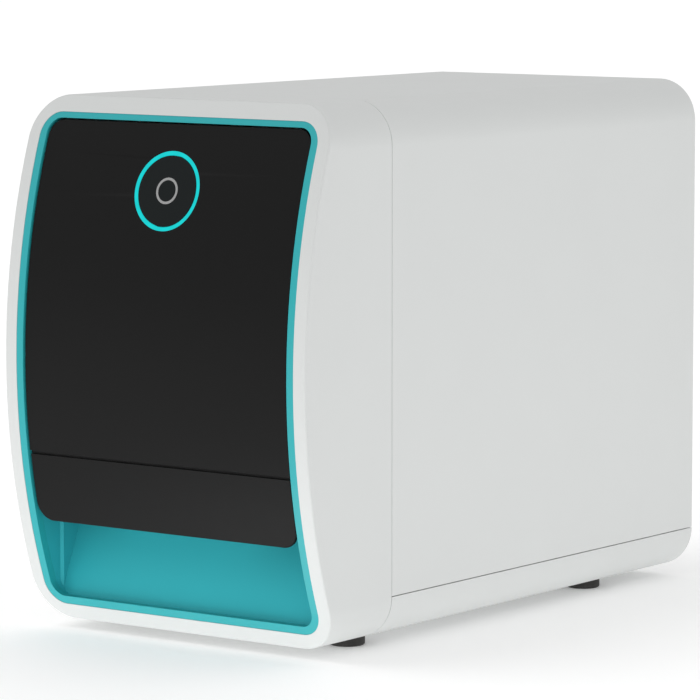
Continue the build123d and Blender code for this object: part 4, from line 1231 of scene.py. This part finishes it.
@dataclass(frozen=True)
class BeltDrive:
    """The looks of a toothed belt with its driving pulley and its idler."""

    rubber: Rubber
    machined: Metal
    thickness: float = 0.0014
    radius: float = 0.008
    width: float = 0.008
    teeth: int = 25

    def build(self, axle: str, run: int, cross: int, shaft: str, pin: str) -> None:
        """Dresses one drive.

        Args:
            axle: The start of its nodes' names.
            run: The axis that the belt's straight runs follow.
            cross: The axis between the runs.
            shaft: The direction from the pulley along its shaft.
            pin: The direction of the idler's pin.
        """
        rubber = self.rubber.build()
        refine(f"{axle}_belt", rubber, 0.15)
        belt_ribs(f"{axle}_belt", run, cross, self.thickness, rubber)
        machined = self.machined.build()
        pulley(f"{axle}_pulley", shaft, self.width, self.radius, self.teeth, machined)
        refine(f"{axle}_idler", machined, 0.2)
        flanges(f"{axle}_idler", pin, self.width, self.radius, machined)


# ============================ Chassis and bed ============================


@dataclass
class Chassis:
    """The tray, the side frames, the deck, the tank shelf and the lifting columns."""

    zinc: PowderCoat = PowderCoat("zinc_sheet", tone(0.52), 0.42, spangle=0.7, metallic=0.85)
    deck: PowderCoat = PowderCoat("deck_coat", tone(0.035), 0.5)
    rod_steel: Metal = Metal("ground_rod", tone(0.62), 0.18, Grain.ALONG_Z)
    screw_steel: Metal = Metal("rolled_screw", tone(0.55), 0.28, Grain.ALONG_Z)
    brass: Metal = Metal("turned_brass", (0.66, 0.44, 0.16), 0.28, Grain.ALONG_Z)
    fixing: Metal = Metal("black_screws", tone(0.05), 0.38, Grain.CAST)
    lead: float = 0.008
    starts: int = 4
    thread_depth: float = 0.0006
    collar: float = 0.010
    shelf_head: tuple = (0.003, 0.0025)
    shelf_inset: float = 0.012
    shelf_count: int = 4
    deck_head: tuple = (0.0025, 0.0015)
    deck_margins: tuple = (0.02, 0.04)
    deck_count: int = 5

    def build(self) -> None:
        """Builds the chassis."""
        zinc = self.zinc.build()
        for node in ("chassis_tray", "side_frame_left", "side_frame_right", "tank_shelf"):
            refine(node, zinc, 0.25)
        refine("deck_plate", self.deck.build(), 0.25)
        refine("guide_rods", self.rod_steel.build(), 0.3)
        refine("lift_bushes", self.brass.build(), 0.3)
        low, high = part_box("lift_motors")
        refine("lift_motors", MotorCase("lift_motor_case", 2, low.z, high.z, 0.006).build(), 0.5)
        steel = self.screw_steel.build()
        for node in ("lift_screw_left", "lift_screw_right"):
            self.lead_screw(node, steel)
        self.fixings(self.fixing.build())

    def lead_screw(self, node: str, steel: bpy.types.Material) -> None:
        """Replaces a plain lead screw by a threaded one with plain ends.

        Args:
            node: The screw's CAD node.
            steel: Its material.
        """
        low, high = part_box(node)
        radius = (high.x - low.x) / 2.0
        centre = (low + high) / 2.0
        at = Matrix.Translation((centre.x, centre.y, 0.0))
        deck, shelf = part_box("deck_plate")[0].z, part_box("tank_shelf")[0].z
        start, stop = deck + 0.003, shelf - 0.002
        shape = bmesh.new()
        thread(shape, radius - 0.00002, self.thread_depth, self.lead, self.starts, start, stop, at)
        drum(shape, radius - self.thread_depth - 0.00005, start - 0.001, stop + 0.001, at, 24)
        drum(shape, radius, low.z, start + self.collar, at, 32)
        drum(shape, radius, stop - self.collar, high.z, at, 32)
        piece = show(f"{node}_fine", shape, 50.0)
        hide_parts(node)
        settle(piece, steel, node)

    def fixings(self, black: bpy.types.Material) -> None:
        """Adds the screws that hold the shelf and the deck to the side frames.

        Args:
            black: The screws' material.
        """
        low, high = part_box("tank_shelf")
        inset = self.shelf_inset
        pitch = (high.y - low.y - 2.0 * inset) / (self.shelf_count - 1)
        places = []
        for x in (low.x + inset, high.x - inset):
            for part in range(self.shelf_count):
                places.append(facing(Vector((x, low.y + inset + pitch * part, high.z)), "+z"))
        screws_at("shelf_screws", "tank_shelf", places, self.shelf_head, black)
        deck_low, deck_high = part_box("deck_plate")
        front, rear = self.deck_margins
        pitch = (deck_high.y - deck_low.y - front - rear) / (self.deck_count - 1)
        height = deck_low.z + self.deck_head[1]
        places = []
        for face, way in ((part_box("side_frame_left")[0].x, "-x"), (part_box("side_frame_right")[1].x, "+x")):
            for part in range(self.deck_count):
                places.append(facing(Vector((face, deck_low.y + front + pitch * part, height)), way))
        screws_at("deck_screws", "deck_plate", places, self.deck_head, black)


@dataclass
class Bed:
    """The sliding flat bed, its rails, blocks, belt and motor."""

    plate: Metal = Metal("clear_anodised", tone(0.62), 0.34, Grain.ALONG_Y)
    bracket: Metal = Metal("bracket_anodised", tone(0.58), 0.36, Grain.ALONG_X)
    drive: BeltDrive = BeltDrive(
        Rubber("belt_rubber", tone(0.012)), Metal("machined_pulley", tone(0.66), 0.26, Grain.CAST)
    )
    fixing: Metal = Metal("bed_screws", tone(0.06), 0.36, Grain.CAST)
    rail_width: float = 0.012
    plate_head: tuple = (0.0026, 0.0022)
    plate_grid: tuple = (0.008, 0.010)
    table_gap: float = 0.01

    def build(self) -> None:
        """Builds the bed."""
        low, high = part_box("bed_rails")
        centre, spread = (low.x + high.x) / 2.0, (high.x - low.x - self.rail_width) / 2.0
        refine("bed_rails", RailSteel("bed_rail_steel", 1, 0, centre, spread).build(), 0.4)
        boxes = sorted(islands_of("bed_blocks"), key=lambda box: box[0].y)
        front, rear = boxes[0], boxes[-1]
        half = (front[1].y - front[0].y) / 2.0
        pitch = rear[0].y - front[0].y
        steel = CappedSteel("bed_block_steel", 1, front[0].y + half, pitch, half)
        refine("bed_blocks", steel.build(), 0.4)
        refine("bed_plate", self.plate.build(), 0.4)
        refine("drawer_bracket", self.bracket.build(), 0.5)
        low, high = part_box("flat_table")
        table = RuledPlate("black_anodised", tone(0.030), ((low.x + high.x) / 2.0, (low.y + high.y) / 2.0))
        refine("flat_table", table.build(), 0.5, 2, 60.0)
        low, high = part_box("bed_motor")
        refine("bed_motor", MotorCase("bed_motor_case", 2, low.z, high.z).build(), 0.5)
        self.drive.build("bed", 1, 0, "-z", "+z")
        self.fixings(self.fixing.build())

    def fixings(self, black: bpy.types.Material) -> None:
        """Adds the screws through the bed plate into the blocks and the motor's own screws.

        Args:
            black: The screws' material.
        """
        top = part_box("bed_plate")[1].z
        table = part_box("flat_table")
        start, stop = table[0].y - self.table_gap, table[1].y + self.table_gap
        across, along = self.plate_grid
        places = []
        for low, high in islands_of("bed_blocks"):
            centre = (low + high) / 2.0
            for dx in (-across, across):
                for dy in (-along, along):
                    if not start < centre.y + dy < stop:
                        places.append(facing(Vector((centre.x + dx, centre.y + dy, top)), "+z"))
        screws_at("plate_screws", "bed_plate", places, self.plate_head, black)
        motor_screws("bed_motor", "-z", black)


# ============================ Gantry and carriage ============================


@dataclass
class Gantry:
    """The lifting beam with its rail, motor and belt, and the print carriage that runs on it."""

    beam: Metal = Metal("extruded_beam", tone(0.60), 0.36, Grain.ALONG_X)
    coat: PowderCoat = PowderCoat("carriage_coat", (0.115, 0.12, 0.125), 0.48)
    head: Moulded = Moulded("head_moulding", tone(0.022), 0.45)
    lamp: Metal = Metal("lamp_fins", (0.20, 0.21, 0.25), 0.4, Grain.ALONG_Z, metallic=0.9)
    window: Glossy = Glossy("lamp_window", (0.05, 0.02, 0.16), 0.10, coat=0.8)
    nozzles: PerforatedCase = PerforatedCase("nozzle_plate", tone(0.62), 0.0024)
    drive: BeltDrive = BeltDrive(
        Rubber("carriage_belt_rubber", tone(0.012)),
        Metal("carriage_pulley_metal", tone(0.66), 0.26, Grain.CAST),
    )
    fixing: Metal = Metal("carriage_screws", tone(0.06), 0.36, Grain.CAST)
    barb: Moulded = Moulded("ink_barbs", tone(0.45), 0.35)
    plate: float = 0.004
    plate_head: tuple = (0.0025, 0.0024)

    def build(self) -> None:
        """Builds the gantry and the carriage."""
        refine("gantry_beam", self.beam.build(), 0.5)
        low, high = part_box("carriage_rail")
        rail = RailSteel("carriage_rail_steel", 0, 2, (low.z + high.z) / 2.0, grain=Grain.ALONG_X)
        refine("carriage_rail", rail.build(), 0.4)
        low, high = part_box("carriage_motor")
        refine("carriage_motor", MotorCase("carriage_motor_case", 1, low.y, high.y).build(), 0.5)
        self.drive.build("carriage", 0, 2, "+y", "+y")
        low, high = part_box("carriage_block")
        half = (high.x - low.x) / 2.0
        refine("carriage_block", CappedSteel("carriage_block_steel", 0, low.x + half, 1.0, half).build(), 0.4)
        refine("carriage_frame", self.coat.build(), 0.4)
        refine("print_head", self.head.build(), 0.8, 3)
        refine("uv_lamp", self.lamp.build(), 0.4)
        self.head_parts()
        self.fixings(self.fixing.build())

    def head_parts(self) -> None:
        """Adds the nozzle plate, the ink barbs and the lamp's window."""
        low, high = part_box("print_head")
        edge, proud, sunk = 0.005, 0.00012, 0.0003
        shape = bmesh.new()
        start = (low.x + edge, low.y + edge, low.z - proud)
        brick(shape, start, (high.x - edge, high.y - edge, low.z + sunk), 0.0001)
        settle(show("nozzle_plate", shape), self.nozzles.build(), "print_head")
        shape = bmesh.new()
        centre = (low + high) / 2.0
        for part in range(4):
            at = facing(Vector((centre.x + 0.006 * (part - 1.5), centre.y + 0.008, high.z)), "+z")
            lathe(shape, [
                (0.0008, -0.001), (0.0018, -0.001), (0.0018, 0.005),
                (0.0023, 0.0055), (0.0016, 0.009), (0.0008, 0.009),
            ], at, 20)
        start = (centre.x - 0.011, centre.y - 0.015, high.z - 0.001)
        brick(shape, start, (centre.x + 0.011, centre.y - 0.008, high.z + 0.005), 0.0005)
        settle(show("head_barbs", shape), self.barb.build(), "print_head")
        low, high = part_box("uv_lamp")
        side, end = 0.0035, 0.005
        shape = bmesh.new()
        start = (low.x + side, low.y + end, low.z - 0.0003)
        brick(shape, start, (high.x - side, high.y - end, low.z + 0.0005), 0.0002)
        settle(show("lamp_glass", shape), self.window.build(), "uv_lamp")

    def fixings(self, black: bpy.types.Material) -> None:
        """Adds the screws of the carriage plate and the carriage motor.

        Args:
            black: The screws' material.
        """
        block = middle("carriage_block")
        plate_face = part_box("carriage_block")[0].y - self.plate
        places = []
        for dx in (-0.014, 0.014):
            for dz in (-0.006, 0.007):
                places.append(facing(Vector((block.x + dx, plate_face, block.z + dz)), "-y"))
        screws_at("carriage_plate_screws", "carriage_frame", places, self.plate_head, black)
        motor_screws("carriage_motor", "+y", black)


# ============================ Capping station and tanks ============================


@dataclass
class Service:
    """The capping station with its tray and wiper, and the four ink tanks."""

    moulding: Moulded = Moulded("station_moulding", tone(0.020), 0.5)
    cap: Rubber = Rubber("cap_rubber", tone(0.035))
    blade: Rubber = Rubber("wiper_rubber", tone(0.022), 0.6)
    foam: Rubber = Rubber("cap_foam", tone(0.26), 0.9)
    lid: Moulded = Moulded("tank_lid", tone(0.030), 0.45)
    fill: float = 0.72
    cap_radius: float = 0.0126
    cap_height: float = 0.0095
    ribs: int = 30
    inks: tuple = ((0.01, 0.28, 0.55), (0.50, 0.01, 0.16), (0.75, 0.52, 0.01), tone(0.012))

    def build(self) -> None:
        """Builds the station and the tanks."""
        refine("cap_station", self.moulding.build(), 0.5)
        refine("cap_tray", self.cap.build(), 0.5, 3)
        refine("wiper_blade", self.blade.build(), 0.25)
        low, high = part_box("cap_tray")
        edge, floor, brim = 0.0029, 0.0025, 0.004
        shape = bmesh.new()
        start = (low.x + edge, low.y + edge, low.z + floor)
        brick(shape, start, (high.x - edge, high.y - edge, high.z - brim), 0.0008)
        settle(show("cap_pad", shape), self.foam.build(), "cap_tray")
        lid = self.lid.build()
        for index, ink in enumerate(self.inks):
            self.tank(f"ink_tank_{index + 1}", ink, lid)

    def tank(self, node: str, ink: tuple, lid: bpy.types.Material) -> None:
        """Dresses one tank and adds its ribbed lid.

        Args:
            node: The tank's CAD node.
            ink: The ink's colour.
            lid: The lid's material.
        """
        low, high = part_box(node)
        level = low.z + (high.z - low.z) * self.fill
        refine(node, InkTank(f"{node}_wall", ink, level).build(), 0.6, 3)
        centre = (low + high) / 2.0
        at = Matrix.Translation((centre.x, centre.y, high.z - self.cap_height))
        shape = bmesh.new()
        toothed(shape, self.cap_radius, 0.0006, self.ribs, 0.0, self.cap_height - 0.0005, at)
        crown = self.cap_height + 0.0004
        inner = self.cap_radius - 0.0012
        lathe(shape, [
            (0.0, self.cap_height - 0.001), (inner, self.cap_height - 0.001), (inner, crown - 0.0005),
            (inner - 0.0006, crown), (0.004, crown), (0.0035, crown - 0.0005), (0.0, crown - 0.0005),
        ], at)
        settle(show(f"{node}_lid", shape), lid, node)


# ============================ Electronics ============================


@dataclass
class Electronics:
    """The power supply, the main board, the fan and the sockets at the rear."""

    supply: PerforatedCase = PerforatedCase("supply_case", tone(0.58))
    dark: Moulded = Moulded("dark_moulding", tone(0.018), 0.5)
    pale: Moulded = Moulded("pale_connector", (0.62, 0.60, 0.54), 0.45)
    sink: Metal = Metal("heat_sinks", (0.10, 0.16, 0.42), 0.4, Grain.ALONG_Y, metallic=0.9)
    can: Metal = Metal("capacitor_cans", tone(0.60), 0.3, Grain.CAST)
    nickel: Metal = Metal("nickel_shell", tone(0.62), 0.22, Grain.ALONG_Y)
    blades: int = 7
    hub: float = 0.012
    tip: float = 0.0268
    chord: float = 0.0135
    board_top: float = 0.0096
    ways: int = 8

    def build(self) -> None:
        """Builds the electronics."""
        dark = self.dark.build()
        pale = self.pale.build()
        refine("power_supply", self.supply.build(), 0.6)
        self.terminals(dark, pale)
        refine("main_board", CircuitBoard("green_board").build(), 0.15)
        self.board_parts(dark, pale)
        refine("fan_frame", dark, 0.4, 2, 60.0)
        self.rotor(dark)
        refine("mains_inlet", dark, 0.3)
        refine("power_switch", Glossy("rocker_gloss", tone(0.014), 0.2).build(), 0.4, 3)
        refine("data_port", self.nickel.build(), 0.3)

    def terminals(self, dark: bpy.types.Material, pale: bpy.types.Material) -> None:
        """Adds the power supply's terminal strip.

        Args:
            dark: The strip's material.
            pale: The clamping screws' material.
        """
        low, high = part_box("power_supply")
        shape = bmesh.new()
        heads = bmesh.new()
        start, stop = low.x + 0.008, high.x - 0.008
        front, seat, wall = low.y - 0.010, low.z + 0.012, 0.0012
        brick(shape, (start, front, low.z + 0.006), (stop, low.y, seat), 0.0004)
        for part in range(self.ways + 1):
            x = start + (stop - start - wall) * part / self.ways
            brick(shape, (x, front, seat - 0.001), (x + wall, low.y, seat + 0.006), 0.0002)
        for part in range(self.ways):
            x = start + (stop - start) * (part + 0.5) / self.ways
            socket_screw(heads, facing(Vector((x, (front + low.y) / 2.0, seat)), "+z"), 0.003, 0.0025)
        settle(show("supply_terminals", shape), dark, "power_supply")
        settle(show("terminal_screws", heads), pale, "power_supply")

    def board_parts(self, dark: bpy.types.Material, pale: bpy.types.Material) -> None:
        """Adds heat sinks, the processor, capacitors and connectors to the board.

        Args:
            dark: The material of the chip's body.
            pale: The connectors' material.
        """
        low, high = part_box("main_board")
        top = low.z + self.board_top
        middle_x = (low.x + high.x) / 2.0
        sinks = bmesh.new()
        half, skin, fin_pitch, fin_thick = 0.007, 0.0002, 0.0031, 0.0012
        for column in (-1, 0, 1):
            for row in (-0.5, 0.5):
                x, y = middle_x + column * 0.020, low.y + 0.040 + row * 0.024
                start = (x - half - skin, y - half - skin, top)
                brick(sinks, start, (x + half + skin, y + half + skin, high.z + skin), 0.0003)
                for fin in range(5):
                    left = x - 0.0068 + fin * fin_pitch
                    start = (left, y - half, high.z)
                    brick(sinks, start, (left + fin_thick, y + half, high.z + 0.004), 0.0002)
        settle(show("driver_heat_sinks", sinks), self.sink.build(), "main_board")
        chip = bmesh.new()
        y = high.y - 0.040
        start = (middle_x - 0.0182, y - 0.0152, top)
        brick(chip, start, (middle_x + 0.0182, y + 0.0152, top + 0.0082), 0.0005)
        for part in range(12):
            x = middle_x - 0.0165 + part * 0.003
            for way in (-1.0, 1.0):
                edge = sorted((y + way * 0.0150, y + way * 0.0170))
                brick(chip, (x - 0.0005, edge[0], top), (x + 0.0005, edge[1], top + 0.0012))
        settle(show("processor", chip), dark, "main_board")
        cans = bmesh.new()
        for part in range(4):
            at = facing(Vector((low.x + 0.020 + part * 0.015, low.y + 0.072, top)), "+z")
            lathe(cans, [
                (0.0, 0.0), (0.0045, 0.0), (0.0045, 0.011), (0.0040, 0.0117), (0.0020, 0.0115), (0.0, 0.0115),
            ], at, 28)
        settle(show("capacitors", cans), self.can.build(), "main_board")
        plugs = bmesh.new()
        for part in range(5):
            x = low.x + 0.012 + part * 0.0145
            start = (x, low.y + 0.003, top)
            brick(plugs, start, (x + 0.011, low.y + 0.010, top + 0.0075), 0.0004)
            start = (x + 0.003, low.y + 0.0025, top + 0.003)
            brick(plugs, start, (x + 0.008, low.y + 0.004, top + 0.0082), 0.0002)
        settle(show("board_connectors", plugs), pale, "main_board")

    def rotor(self, dark: bpy.types.Material) -> None:
        """Replaces the plain rotor by a hub with swept, twisted blades.

        Args:
            dark: The rotor's material.
        """
        low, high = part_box("fan_rotor")
        centre = (low + high) / 2.0
        shape = bmesh.new()
        for part in range(self.blades):
            blade = bmesh.ops.create_grid(shape, x_segments=8, y_segments=5, size=0.5)["verts"]
            for vert in blade:
                out, across = vert.co.x + 0.5, vert.co.y
                reach = self.hub - 0.0008 + (self.tip - self.hub + 0.0008) * out
                tilt = math.radians(48.0 - 16.0 * out)
                sweep = 0.25 * out * out + 0.6 * (across * across - 0.25) * 0.3
                turn = math.tau * part / self.blades + sweep + across * self.chord * math.cos(tilt) / reach
                depth = across * self.chord * math.sin(tilt)
                vert.co = centre + Vector((reach * math.cos(turn), depth, reach * math.sin(turn)))
        bmesh.ops.solidify(shape, geom=shape.faces[:], thickness=0.0011)
        bmesh.ops.recalc_face_normals(shape, faces=shape.faces)
        front = facing(Vector((centre.x, low.y, centre.z)), "+y")
        depth = high.y - low.y
        bore = 0.0027
        lathe(shape, [
            (bore, 0.0018), (self.hub - 0.0012, 0.0), (self.hub, 0.0012), (self.hub, depth), (bore, depth),
        ], front, 48)
        piece = show("fan_rotor_fine", shape, 40.0)
        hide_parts("fan_rotor")
        settle(piece, dark, "fan_rotor")


# ============================ Studio ============================


@dataclass
class Studio:
    """The pale floor, the soft light and the camera."""

    distance: float = 3.278
    azimuth: float = 36.29
    elevation: float = 6.227
    lens: float = 214.48
    sensor: float = 36.0
    shift: tuple = (-0.018288, -0.011892)
    case_middle: float = 0.208
    floor_size: float = 80.0
    floor_tone: float = 0.96
    floor_glow: float = 0.15
    wash: float = 0.62
    wash_spread: float = 40.0
    wash_from: tuple = (-0.55, -0.35, 1.0)
    horizon: float = 0.62
    zenith: float = 0.90
    fade_start: float = 0.10
    front_bounce: tuple = ((-0.02, -0.62, -0.22), (0.7, 0.3), 1.08, (-0.02, -0.24, 0.04))
    side_bounce: tuple = ((0.52, 0.05, -0.15), (0.5, 0.3), 0.32, (0.14, 0.05, 0.10))

    def build(self) -> None:
        """Builds the studio."""
        self.camera()
        self.floor()
        self.lights()

    def camera(self) -> None:
        """Makes the camera and aims it at the middle of the case."""
        data = bpy.data.cameras.new("camera")
        data.lens = self.lens
        data.sensor_width = self.sensor
        data.shift_x, data.shift_y = self.shift
        data.clip_end = 100.0
        camera = bpy.data.objects.new("camera", data)
        bpy.context.scene.collection.objects.link(camera)
        turn, rise = math.radians(self.azimuth), math.radians(self.elevation)
        reach = self.distance * math.cos(rise)
        aim = Vector((0.0, 0.0, self.case_middle))
        spot = aim + Vector((reach * math.sin(turn), -reach * math.cos(turn), self.distance * math.sin(rise)))
        camera.location = spot
        camera.rotation_euler = (aim - spot).to_track_quat("-Z", "Y").to_euler()
        bpy.context.scene.camera = camera

    def floor(self) -> None:
        """Makes a pale floor that reaches well past the view."""
        shape = bmesh.new()
        bmesh.ops.create_grid(shape, x_segments=2, y_segments=2, size=self.floor_size / 2.0)
        floor = show("floor", shape)
        graph = Graph("floor_paint")
        cloud = graph.noise(2.0, 3.0)
        paint = graph.finish({
            "Base Color": graph.tint(cloud, tone(self.floor_tone * 0.98), tone(self.floor_tone)),
            "Roughness": 0.7 + (cloud - 0.5) * 0.1, "Specular IOR Level": 0.2,
            "Emission Color": (1.0, 1.0, 1.0), "Emission Strength": self.floor_glow,
        })
        floor.data.materials.append(paint)

    def lights(self) -> None:
        """Makes a white surround and soft area lights, and sets plain colour handling."""
        scene = bpy.context.scene
        scene.view_settings.view_transform = "Standard"
        scene.view_settings.look = "None"
        world = bpy.data.worlds.new("surround")
        scene.world = world
        world.use_nodes = True
        tree = world.node_tree
        back = tree.nodes["Background"]
        back.inputs["Color"].default_value = (1.0, 1.0, 1.0, 1.0)
        where = tree.nodes.new("ShaderNodeTexCoord")
        parts = tree.nodes.new("ShaderNodeSeparateXYZ")
        fade = tree.nodes.new("ShaderNodeMapRange")
        fade.inputs["From Min"].default_value = self.fade_start
        fade.inputs["To Min"].default_value = self.horizon
        fade.inputs["To Max"].default_value = self.zenith
        tree.links.new(where.outputs["Generated"], parts.inputs[0])
        tree.links.new(parts.outputs["Z"], fade.inputs["Value"])
        tree.links.new(fade.outputs["Result"], back.inputs["Strength"])
        alone = self.linked("floor_alone", "INCLUDE")
        apart = self.linked("floor_apart", "EXCLUDE")
        data = bpy.data.lights.new("floor_wash", "SUN")
        data.energy = self.wash
        data.angle = math.radians(self.wash_spread)
        wash = bpy.data.objects.new("floor_wash", data)
        wash.rotation_euler = Vector(self.wash_from).to_track_quat("Z", "Y").to_euler()
        wash.light_linking.receiver_collection = alone
        scene.collection.objects.link(wash)
        for name, settings in (("front_bounce", self.front_bounce), ("side_bounce", self.side_bounce)):
            light = self.lamp(name, *settings)
            light.light_linking.receiver_collection = apart
            light.light_linking.blocker_collection = apart

    def linked(self, name: str, state: str) -> bpy.types.Collection:
        """Makes a collection that says whether a light reaches the floor.

        Args:
            name: Its name.
            state: INCLUDE for the floor alone, EXCLUDE for all but the floor.

        Returns:
            The collection.
        """
        group = bpy.data.collections.new(name)
        group.objects.link(bpy.data.objects["floor"])
        group.collection_objects[0].light_linking.link_state = state
        return group

    def lamp(
        self, name: str, where: tuple, size: tuple, power: float, aim: tuple = (0.0, 0.0, 0.208)
    ) -> bpy.types.Object:
        """Makes one oblong area light.

        Args:
            name: Its name.
            where: Its place, in metres.
            size: Its width and height, in metres.
            power: Its power, in watts.
            aim: The place that it faces.

        Returns:
            The light.
        """
        data = bpy.data.lights.new(name, "AREA")
        data.shape = "RECTANGLE"
        data.size, data.size_y = size
        data.energy = power
        light = bpy.data.objects.new(name, data)
        light.location = where
        light.rotation_euler = (Vector(aim) - Vector(where)).to_track_quat("-Z", "Y").to_euler()
        light.visible_camera = False
        bpy.context.scene.collection.objects.link(light)
        return light


def main() -> None:
    """Builds the studio and every sub-assembly."""
    Studio().build()
    for assembly in (Case(), Fronts(), Chassis(), Bed(), Gantry(), Service(), Electronics()):
        assembly.build()
        LOG.info("built %s", type(assembly).__name__)


if __name__ == "__main__":
    main()
